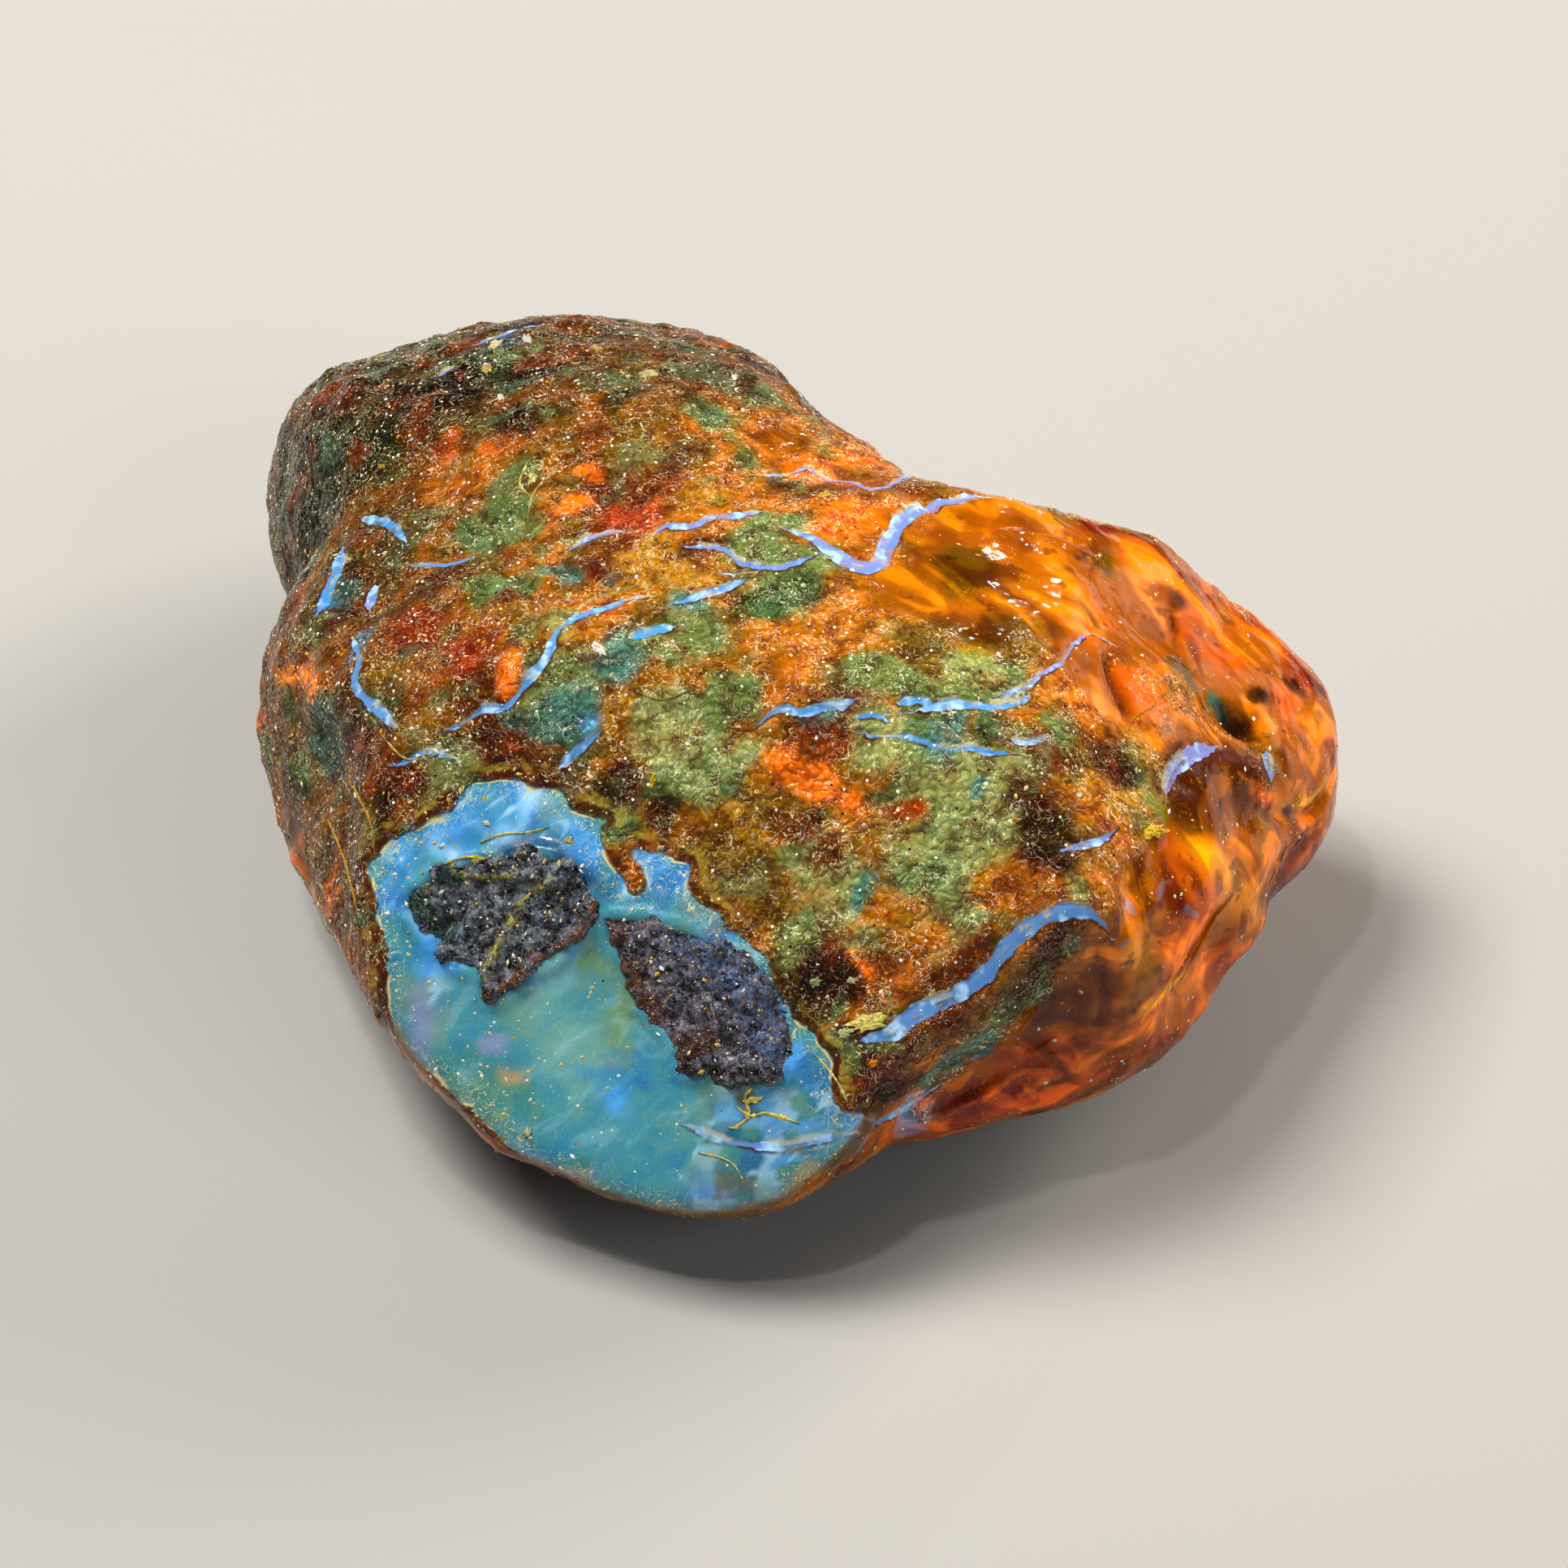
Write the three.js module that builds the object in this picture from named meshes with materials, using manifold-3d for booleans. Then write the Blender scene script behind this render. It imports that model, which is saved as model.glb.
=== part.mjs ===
// A rough nodule of Dominican blue amber, about 95 mm long, lying on a worn flat patch.
// It is one solid of amber. Two flakes of dark carbonised matrix are let into shallow pockets
// in its polished blue window. Millimetres, +Z up; the window faces the front, -Y.

import * as THREE from "three";
import { mergeVertices } from "three/addons/utils/BufferGeometryUtils.js";
import Module from "manifold-3d";

const wasm = await Module();
wasm.setup();

// Driving dimensions of the nodule
const CORE = new THREE.Vector3(0, 2, 14); // the widest level, and the centre that radii are taken from
const CROWN = 21.5; // from the widest level up to the top
const KEEL = 17; // from the widest level down to where the underside would close
const CROWN_SQUARENESS = 2.5; // 2 is an ellipse, and more is a flatter top with a tighter shoulder
const KEEL_SQUARENESS = 2.2;
const STONE_DETAIL = 18; // subdivisions of the starting sphere

// Uneven surface: the height and the width of each size of lump
const undulations = [
  { height: 0.9, width: 9 },
  { height: 0.5, width: 4 },
];
const POLISH = 0.65; // the share of the unevenness that is worn away in the window
const POLISH_DEPTH = 1.5; // how far under the window's plane the polish fades out

// The matrix flakes
const FLAKE_DETAIL = 40;
const FLAKE_PROUD = 0.6; // above the amber around it
const FLAKE_DEPTH = 1.8; // below the window's plane
const FLAKE_ROUGHNESS = 0.4;
const FLAKE_GRAIN = 1.1; // the width of the lumps on a flake
const FIT_GAP = 0.35; // between a flake and its pocket

// The widest outline seen from above, anticlockwise from the right-hand tip
const outline = [
  [42, 5],
  [39, 9.5],
  [32, 14],
  [24, 16.5],
  [15, 20.5],
  [9, 26],
  [4, 31.5],
  [-4, 43],
  [-14, 54],
  [-23, 57.5],
  [-32.5, 47],
  [-41.5, 39],
  [-40.5, 28],
  [-37.5, 19],
  [-40.5, 10],
  [-40.5, -2],
  [-34.5, -12],
  [-31.5, -20],
  [-26.5, -28],
  [-18, -36],
  [-9, -41],
  [0, -40],
  [8, -33.5],
  [14.5, -30.5],
  [23.5, -27.5],
  [30.5, -17],
  [36, -11],
  [41, -3],
];

// Broad worn facets: the surface is drawn in to a plane through the point, square to the normal
const window_ = { point: [-14, -27, 18], normal: [-0.16, -0.7, 0.7], softness: 1.2 };
const facets = [
  window_,
  { name: "left side", point: [-38, 2, 16], normal: [-0.93, -0.3, 0.22], softness: 2.5 },
  { name: "right shoulder", point: [31, -2, 26], normal: [0.55, -0.05, 0.83], softness: 3 },
  { name: "back slope", point: [-10, 38, 28], normal: [-0.1, 0.45, 0.89], softness: 3 },
];

// Ridges stand out along their paths, and grooves are ridges of negative height
const ridges = [
  {
    name: "lower right ledge",
    path: [[12, -31, 6], [20, -27, 7], [27, -22, 8], [34, -13, 10]],
    radius: 4,
    height: 1.3,
  },
  {
    name: "groove over the ledge",
    path: [[9, -33, 12], [19, -28, 13.5], [30, -18, 14]],
    radius: 2.6,
    height: -1.8,
  },
  {
    name: "brow over the flakes",
    path: [[-24, -18, 25], [-15, -20, 25], [-8, -22.5, 23], [-1, -29, 19.5]],
    radius: 2.4,
    height: 0.8,
  },
  {
    name: "crust edge on the right",
    path: [[4, -32, 18], [12, -30, 20], [17, -27, 24], [22, -26, 23]],
    radius: 2.4,
    height: 1,
  },
  {
    name: "crack by the right tip",
    path: [[33, -12, 22], [37, -10, 19.5], [41, -5, 17]],
    radius: 2.2,
    height: -1.3,
  },
  {
    name: "dip across the crown",
    path: [[-38, 12, 25], [-28, 5, 31], [-14, 5, 35]],
    radius: 5,
    height: -1.2,
  },
  {
    name: "left flank crease",
    path: [[-33, -9, 24], [-36, -7, 17], [-36, -6, 10]],
    radius: 3,
    height: -1,
  },
  {
    name: "back flank rib",
    path: [[-30, 48, 18], [-14, 49, 16], [0, 36, 14]],
    radius: 4,
    height: 1.4,
  },
  {
    name: "back right crease",
    path: [[6, 28, 22], [12, 23, 14], [16, 20, 6]],
    radius: 3.5,
    height: -1.4,
  },
];

// Single lumps and hollows
const lumps = [
  { name: "back left lobe", at: [-22, 36, 29], radius: 13, height: 2.8 },
  { name: "window hollow", at: [-14, -29, 16], radius: 8, height: -0.8 },
  { name: "pit by the right tip", at: [32.5, -5.5, 24.5], radius: 2.8, height: -1.8 },
  { name: "left hollow", at: [-32, 1.5, 30], radius: 4, height: -1.8 },
  { name: "lower left hollow", at: [-34, -8, 21], radius: 5, height: -1.2 },
  { name: "hollow under the crust edge", at: [20, -28, 19], radius: 4.5, height: -1.4 },
  { name: "right cheek", at: [31, -17, 17], radius: 6, height: 1.2 },
  { name: "pit at the front", at: [2, -30, 20], radius: 3, height: -0.9 },
  { name: "back scoop", at: [14, 18, 27], radius: 7, height: -1.8 },
  { name: "back left dent", at: [-39, 32, 22], radius: 5, height: -1.6 },
];

// The outline of each flake in the window's plane, clockwise, right and up from its centre
const flakes = [
  {
    name: "dark_matrix_flake_left",
    centre: [-7, 3],
    outline: [
      [-6.5, 1.5], [-4.1, 3.8], [-1, 4.8], [1.5, 6], [5, 5.5], [6.9, 2.5], [5.3, -0.5],
      [3.1, -2.3], [0.6, -4.7], [-0.5, -3.2], [-3.8, -2.2], [-5.7, -0.3],
    ],
  },
  {
    name: "dark_matrix_flake_right",
    centre: [8, 0],
    outline: [
      [-7.2, 5], [-4.8, 5.6], [-0.2, 4.8], [3.3, 3.8], [5.4, 1.6], [7.5, -2.2], [6.6, -4],
      [2.5, -5], [-0.4, -4.5], [-1.4, -2], [-4.2, -0.3], [-5.5, 2.7],
    ],
  },
];

// A repeatable value from 0 to 1 for a lattice corner
function cornerValue(x, y, z) {
  const mixed = Math.sin(x * 127.1 + y * 311.7 + z * 74.7) * 43758.5453;
  return mixed - Math.floor(mixed);
}

// Smooth noise from -1 to 1 with features of the given width
function noise(place, width) {
  const p = place.clone().divideScalar(width);
  const cell = p.clone().floor();
  const part = p.clone().sub(cell);
  const ease = [part.x, part.y, part.z].map((t) => t * t * (3 - 2 * t));
  let sum = 0;
  for (let corner = 0; corner < 8; corner++) {
    const step = [corner & 1, (corner >> 1) & 1, corner >> 2];
    const weight = step.reduce((w, s, i) => w * (s ? ease[i] : 1 - ease[i]), 1);
    sum += weight * cornerValue(cell.x + step[0], cell.y + step[1], cell.z + step[2]);
  }
  return 2 * sum - 1;
}

// The outline's radius at a bearing, by a smooth curve through its points
const bearings = outline
  .map(([x, y]) => new THREE.Vector2(x - CORE.x, y - CORE.y))
  .map((arm) => ({ angle: Math.atan2(arm.y, arm.x), radius: arm.length() }))
  .sort((a, b) => a.angle - b.angle);

function outlineRadius(angle) {
  const count = bearings.length;
  const after = bearings.findIndex((b) => b.angle > angle);
  const next = after < 0 ? 0 : after;
  const at = (i) => bearings[(next + i + count) % count];
  const turn = 2 * Math.PI;
  const gap = (at(0).angle - at(-1).angle + turn) % turn;
  const t = ((angle - at(-1).angle + turn) % turn) / gap;
  const [a, b, c, d] = [at(-2), at(-1), at(0), at(1)].map((k) => k.radius);
  const bend = 2 * a - 5 * b + 4 * c - d;
  const twist = 3 * b - a - 3 * c + d;
  return 0.5 * (2 * b + t * (c - a + t * (bend + t * twist)));
}

// The rounded body before its facets, ridges and lumps
function bodyPoint(direction) {
  const level = Math.hypot(direction.x, direction.y);
  const rising = direction.z > 0;
  const power = 2 / (rising ? CROWN_SQUARENESS : KEEL_SQUARENESS);
  const reach = outlineRadius(Math.atan2(direction.y, direction.x)) * level ** power;
  const lift = (rising ? CROWN : -KEEL) * Math.abs(direction.z) ** power;
  const flat = new THREE.Vector2(direction.x, direction.y).normalize().multiplyScalar(reach);
  return new THREE.Vector3(CORE.x + flat.x, CORE.y + flat.y, CORE.z + lift);
}

// How far a point is beyond a facet's plane
function beyondFacet(p, { point, normal }) {
  return new THREE.Vector3(...normal).normalize().dot(p.clone().sub(new THREE.Vector3(...point)));
}

// Draws a point in towards the core until it lies on the facet, with a rounded edge
function wearFacet(p, facet) {
  const over = beyondFacet(p, facet);
  const reach = over - beyondFacet(CORE, facet);
  const blend = Math.max(0, 1 - Math.abs(over) / facet.softness);
  const kept = reach - Math.max(0, over) - (facet.softness * blend * blend) / 4;
  return reach > 0 ? p.sub(CORE).multiplyScalar(kept / reach).add(CORE) : p;
}

function distanceToPath(p, path) {
  const corners = path.map((c) => new THREE.Vector3(...c));
  const near = new THREE.Vector3();
  let least = Infinity;
  for (let i = 1; i < corners.length; i++) {
    new THREE.Line3(corners[i - 1], corners[i]).closestPointToPoint(p, true, near);
    least = Math.min(least, near.distanceTo(p));
  }
  return least;
}

// The stone's surface in one direction from its core
function surfacePoint(direction, proud, roughness) {
  let p = bodyPoint(direction);
  for (const facet of facets) p = wearFacet(p, facet);
  const rest = p.clone();
  const polish = POLISH * Math.exp(-((beyondFacet(rest, window_) / POLISH_DEPTH) ** 2));
  let rise = proud + roughness * noise(rest, FLAKE_GRAIN);
  for (const { path, radius, height } of ridges) {
    rise += height * Math.exp(-((distanceToPath(rest, path) / radius) ** 2));
  }
  for (const { at, radius, height } of lumps) {
    rise += height * Math.exp(-((rest.distanceTo(new THREE.Vector3(...at)) / radius) ** 2));
  }
  for (const { height, width } of undulations) rise += (1 - polish) * height * noise(rest, width);
  return p.addScaledVector(direction, rise);
}

// A closed surface of the stone, raised by a margin where a piece must stand proud of it
function stoneGeometry(detail, proud, roughness) {
  const sphere = new THREE.IcosahedronGeometry(1, detail);
  sphere.deleteAttribute("normal");
  sphere.deleteAttribute("uv");
  const geometry = mergeVertices(sphere, 1e-5);
  const position = geometry.attributes.position;
  for (let i = 0; i < position.count; i++) {
    const direction = new THREE.Vector3().fromBufferAttribute(position, i).normalize();
    position.setXYZ(i, ...surfacePoint(direction, proud, roughness).toArray());
  }
  return geometry;
}

function toSolid(geometry) {
  geometry.deleteAttribute("normal");
  geometry.deleteAttribute("uv");
  const merged = mergeVertices(geometry);
  return new wasm.Manifold(
    new wasm.Mesh({
      numProp: 3,
      vertProperties: new Float32Array(merged.attributes.position.array),
      triVerts: new Uint32Array(merged.index.array),
    }),
  );
}

function toGeometry(solid) {
  const mesh = solid.getMesh();
  return new THREE.BufferGeometry()
    .setAttribute("position", new THREE.BufferAttribute(new Float32Array(mesh.vertProperties), 3))
    .setIndex(new THREE.BufferAttribute(new Uint32Array(mesh.triVerts), 1));
}

// An outline moved out all round by a margin
function grownOutline(points, margin) {
  return points.map((point, i) => {
    const into = point.clone().sub(points.at(i - 1)).normalize();
    const out = points[(i + 1) % points.length].clone().sub(point).normalize();
    const outward = new THREE.Vector2(-into.y - out.y, into.x + out.x).normalize();
    const mitre = outward.dot(new THREE.Vector2(-into.y, into.x));
    return point.clone().addScaledVector(outward, margin / mitre);
  });
}

// A prism square to the window's plane, from below the flake's bed to well clear of the stone
function flakePrism(flake, margin) {
  const CLEAR = 6;
  const normal = new THREE.Vector3(...window_.normal).normalize();
  const right = new THREE.Vector3(0, 0, 1).cross(normal).normalize();
  const up = new THREE.Vector3().crossVectors(normal, right);
  const place = new THREE.Matrix4().makeBasis(right, up, normal).setPosition(...window_.point);
  const centre = new THREE.Vector2(...flake.centre);
  const corners = flake.outline.map(([x, y]) => new THREE.Vector2(x, y).add(centre));
  const depth = FLAKE_DEPTH + margin;
  const prism = new THREE.ExtrudeGeometry(new THREE.Shape(grownOutline(corners, margin)), {
    depth: depth + CLEAR,
    bevelEnabled: false,
  });
  return toSolid(prism.translate(0, 0, -depth).applyMatrix4(place));
}

function underFloor() {
  const SPAN = 200;
  const THICKNESS = 60;
  return toSolid(new THREE.BoxGeometry(SPAN, SPAN, THICKNESS).translate(0, 0, -THICKNESS / 2));
}

// The amber, cut flat underneath where it rests, with a pocket for each flake
function amberNodule() {
  let solid = toSolid(stoneGeometry(STONE_DETAIL, 0, 0)).subtract(underFloor());
  for (const flake of flakes) solid = solid.subtract(flakePrism(flake, FIT_GAP));
  const material = new THREE.MeshStandardMaterial({ color: 0x9a6a28, roughness: 0.35, metalness: 0 });
  const mesh = new THREE.Mesh(toGeometry(solid), material);
  mesh.name = "amber_nodule";
  return mesh;
}

function matrixFlake(flake, roughStone) {
  const solid = flakePrism(flake, 0).intersect(roughStone);
  const material = new THREE.MeshStandardMaterial({ color: 0x2b2829, roughness: 0.8, metalness: 0 });
  const mesh = new THREE.Mesh(toGeometry(solid), material);
  mesh.name = flake.name;
  return mesh;
}

const group = new THREE.Group();
const roughStone = toSolid(stoneGeometry(FLAKE_DETAIL, FLAKE_PROUD, FLAKE_ROUGHNESS));
group.add(amberNodule());
for (const flake of flakes) group.add(matrixFlake(flake, roughStone));

// The origin is at the middle of the whole nodule's plan, on the floor
const middle = new THREE.Box3().setFromObject(group).getCenter(new THREE.Vector3());
group.position.set(-middle.x, -middle.y, 0);

export default group;
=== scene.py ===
"""A rough nodule of blue amber with two flakes of dark matrix, on a pale studio floor.

The amber is one fine mesh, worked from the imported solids. Its markings are written as points of the
reference frame, FRAME_PX pixels wide, and are cast through the camera on to the surface. They become
distances in millimetres on the mesh, so one procedural material can draw crisp edges from them.
"""

from math import cos, pi, radians, sin

import bmesh
import bpy
import numpy as np
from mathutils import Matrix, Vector, noise
from mathutils.bvhtree import BVHTree

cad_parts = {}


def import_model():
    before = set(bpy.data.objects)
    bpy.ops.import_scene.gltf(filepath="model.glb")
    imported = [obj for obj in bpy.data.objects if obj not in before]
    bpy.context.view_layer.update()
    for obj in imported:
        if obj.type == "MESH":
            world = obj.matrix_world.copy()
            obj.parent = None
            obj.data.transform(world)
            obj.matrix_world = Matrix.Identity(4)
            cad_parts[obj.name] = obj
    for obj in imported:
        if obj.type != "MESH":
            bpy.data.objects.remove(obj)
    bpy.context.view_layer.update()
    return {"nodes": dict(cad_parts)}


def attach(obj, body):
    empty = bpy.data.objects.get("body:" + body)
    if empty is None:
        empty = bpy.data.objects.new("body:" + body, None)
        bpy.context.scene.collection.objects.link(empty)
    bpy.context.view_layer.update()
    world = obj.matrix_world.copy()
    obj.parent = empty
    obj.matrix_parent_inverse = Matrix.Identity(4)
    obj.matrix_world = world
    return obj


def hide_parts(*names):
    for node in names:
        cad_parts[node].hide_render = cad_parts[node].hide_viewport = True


MM = 0.001
FRAME_PX = 1932

# The camera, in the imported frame
LENS_MM = 100.0
SENSOR_MM = 36.0
ELEVATION = radians(40)
TARGET = Vector((0.03, -11.32, 15.6)) * MM
PIXEL_MM = 0.0605  # at the target
FOCAL_PX = LENS_MM / SENSOR_MM * FRAME_PX
BACK = Vector((0, -cos(ELEVATION), sin(ELEVATION)))
RIGHT = Vector((1, 0, 0))
UP = BACK.cross(RIGHT)
EYE = TARGET + BACK * PIXEL_MM * MM * FOCAL_PX

# The fine mesh of the amber
AMBER_VOXEL = 0.48 * MM
SMOOTHING_ROUNDS = 22
AMBER_IOR = 1.54
AMBER_TINT = (0.97, 0.46, 0.1)
AMBER_DENSITY = 35.0
PAINT_COVER = 0.9
CLEAR_SHARE = 0.35  # how much of the light on clear amber goes in; the rest it scatters back in its base colour, which is partly its cloudy flaws and partly painted glow

CLEAR_WIDER = 1.4  # how much wider the clear places are than their listed radii
GIRDLE_HEIGHT = 10.0  # the amber is clear round its lower side, about this height in millimetres
GIRDLE_SPREAD = 5.5
RIDGE_BAND_AND_LIGHT_TINT = "#ef7410"  # on the tops of the rim's long ridges: their own orange, and painted light
GROOVE_BAND_AND_SHADE_TINT = "#3a0c02"  # between them: their own dark red, and painted shade in the grooves
LOW_RED_AND_GLOW_TINT = "#b8330a"  # of clear amber low on the right: its own deep red, and painted glow of light coming through the low rim
WINDOW_EDGE = (0.02, 0.9)  # the window's colours run softly into each other
SHARD_WIDTH = 1.5  # in millimetres
CRUST_STEP = 0.3  # how far the crust stands above the window's edge, in millimetres
FLAKE_LIP = 0.25  # how high the resin rises round a flake
FLAKE_REACH = 5.0  # how deep under the window a flake's outline counts
FAR_OFF = -9.0

FLAKE_VOXEL = 0.2 * MM
FLAKE_GROWTH = 0.35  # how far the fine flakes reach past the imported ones, sideways

# The relief, as layers of noise: height and width in millimetres, kind and seed
CRUST_LAYERS = [(0.34, 3.4, "fractal", 4.0), (0.24, 2.1, "domes", 9.0), (0.14, 1.2, "plain", 2.0)]
CLEAR_LAYERS = [(0.25, 4.5, "fractal", 5.0)]
SMOOTH_LAYERS = [(0.06, 3.2, "fractal", 8.0)]
EDGE_LAYERS = [(0.7, 4.5, "plain", 14.0), (0.45, 1.5, "fractal", 12.0)]
FLAKE_LAYERS = [(0.3, 0.7, "domes", 57.0)]
FLAKE_TOP_LAYERS = [(0.65, 2.6, "fractal", 51.0), (0.95, 1.7, "domes", 53.0)]
FLAKE_SIDE_LAYERS = [(0.4, 1.6, "fractal", 59.0)]

# Each area light: its name, place, size in metres, power in watts, tint and whether it shows in reflections
LIGHTS = [
    ("key", (-0.3, 0.1, 0.6), 0.3, 5.6, (1.0, 0.98, 0.95), False),
    ("back", (0.6, 0.4, 0.3), 0.35, 6.5, (1.0, 0.93, 0.84), False),
    ("fill", (0.5, -0.45, 0.3), 0.5, 2.1, (0.96, 0.98, 1.0), False),
    ("spark", (-0.12, -0.1, 0.6), 0.03, 0.5, (1.0, 1.0, 1.0), True),
    ("spark_back", (0.25, 0.5, 0.35), 0.04, 0.2, (1.0, 1.0, 1.0), True),
]

FLOOR_SIZE = 4.0  # in metres
FLOOR_DROP = 0.2 * MM  # how far the floor lies under the stone
FLOOR_TINT = "#a3a19d"
FLOOR_ROUGHNESS = 0.7
SKY_TINT = (0.86, 0.9, 1.0, 1.0)
SKY_STRENGTH = 0.07
VIEW_GAMMA = 0.86
VIEW_EXPOSURE = 0.3

# The polished window is nearly flat: its plane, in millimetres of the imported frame
WINDOW_POINT = np.array((-14.0, -36.3, 18.0))
WINDOW_NORMAL = np.array((-0.16, -0.7, 0.7))
WINDOW_WRAP = 15.0  # how far under its plane the window reaches round the lower rim

WINDOW_OUTLINE = [
    (452, 1070), (466, 1037), (504, 1021), (542, 1002), (587, 968), (640, 965), (689, 973), (705, 995),
    (752, 1006), (752, 1040), (786, 1040), (853, 1062), (848, 1095), (905, 1150), (945, 1172),
    (945, 1205), (970, 1243), (1005, 1287), (1030, 1307), (1032, 1353), (1075, 1388), (1040, 1430),
    (960, 1500), (880, 1511), (760, 1490), (640, 1430), (560, 1350), (490, 1290), (480, 1180),
]

FLAKE_LEFT_OUTLINE = [
    (499, 1112), (505, 1099), (528, 1086), (550, 1070), (579, 1061), (604, 1062), (650, 1050),
    (706, 1064), (728, 1086), (732, 1121), (728, 1137), (706, 1153), (697, 1169), (681, 1182),
    (655, 1194), (633, 1214), (610, 1231), (601, 1230), (591, 1217), (594, 1204), (579, 1194),
    (566, 1188), (540, 1177), (537, 1166), (524, 1150), (512, 1137),
]

FLAKE_RIGHT_OUTLINE = [
    (744, 1137), (748, 1131), (767, 1132), (789, 1131), (812, 1142), (837, 1145), (866, 1158),
    (898, 1168), (923, 1184), (942, 1200), (953, 1229), (966, 1257), (977, 1286), (979, 1300),
    (959, 1330), (947, 1324), (928, 1331), (892, 1337), (876, 1331), (873, 1321), (842, 1321),
    (829, 1305), (832, 1292), (822, 1273), (803, 1248), (783, 1236), (776, 1204), (767, 1179),
    (751, 1159),
]

# Veins of bare blue amber: width in pixels, how lavender they are from 0 to 1, and the route
VEINS = [
    (8, 0.1, [(475, 943), (488, 944), (510, 936), (527, 926), (557, 934)]),
    (9, 0.1, [
        (539, 903), (571, 893), (597, 874), (622, 873), (638, 858), (654, 836), (676, 811), (686, 782),
        (711, 763), (746, 753), (773, 742), (800, 738),
    ]),
    (11, 0.1, [(830, 748), (866, 736), (891, 726), (923, 715)]),
    (18, 0.0, [(778, 790), (800, 782), (828, 774)]),
    (9, 0.8, [(700, 682), (732, 664), (764, 658)]),
    (12, 0.7, [(805, 664), (821, 651), (853, 653), (872, 642), (904, 639), (936, 634)]),
    (9, 0.5, [(843, 678), (891, 678), (910, 694), (936, 701), (971, 698), (1012, 685)]),
    (22, 0.6, [
        (965, 656), (987, 661), (1006, 669), (1022, 682), (1044, 694), (1066, 700), (1085, 692),
        (1099, 662), (1118, 637), (1146, 624), (1178, 619), (1200, 614), (1226, 617),
    ]),
    (9, 0.9, [
        (936, 589), (971, 588), (993, 580), (1019, 592), (1051, 595), (1073, 605), (1099, 599),
        (1121, 584),
    ]),
    (10, 0.1, [(931, 898), (949, 881), (965, 873), (987, 878), (1019, 873), (1038, 870), (1060, 863)]),
    (10, 0.0, [(1104, 869), (1131, 865), (1150, 872)]),
    (12, 0.1, [(1134, 877), (1169, 869), (1200, 873), (1230, 873), (1265, 865)]),
    (7, 0.1, [(1051, 887), (1073, 881), (1092, 890)]),
    (8, 0.0, [
        (1067, 906), (1089, 909), (1114, 909), (1138, 915), (1169, 925), (1196, 921), (1211, 927),
        (1253, 932),
    ]),
    (8, 0.4, [(1242, 915), (1265, 917), (1291, 911)]),
    (20, 0.15, [
        (1055, 1284), (1072, 1280), (1100, 1273), (1119, 1256), (1150, 1237), (1180, 1225), (1207, 1206),
        (1226, 1185), (1249, 1160), (1268, 1141), (1295, 1128), (1322, 1120), (1349, 1130), (1364, 1147),
    ]),
    (7, 0.7, [(1303, 1049), (1330, 1043), (1356, 1036), (1374, 1022)]),
    (5, 0.8, [(1222, 862), (1265, 848), (1280, 833), (1307, 818), (1326, 791), (1345, 781), (1364, 789)]),
    (20, 0.9, [(1437, 978), (1444, 952), (1467, 929), (1498, 921)]),
    (14, 0.5, [(1560, 925), (1564, 942), (1566, 962)]),
    (14, 0.0, [(447, 640), (472, 645), (488, 653), (500, 668)]),
    (8, 0.3, [(507, 701), (530, 699), (555, 698), (574, 693), (597, 683)]),
    (16, 0.0, [(424, 675), (418, 701), (405, 729), (389, 761)]),
    (14, 0.5, [(464, 724), (460, 738), (455, 752)]),
    (13, 0.2, [(437, 791), (443, 814), (440, 846), (459, 868), (491, 900)]),
    (14, 0.5, [(581, 430), (603, 423), (635, 411), (670, 403)]),
    (9, 0.6, [(539, 468), (552, 460), (565, 452)]),
    (12, 0.1, [(690, 945), (710, 926), (728, 912), (745, 900)]),
    (9, 0.4, [(848, 1388), (900, 1408), (960, 1412), (1010, 1404), (1052, 1398)]),
    (10, 0.3, [(1075, 1388), (1110, 1368), (1150, 1340)]),
]

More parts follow.
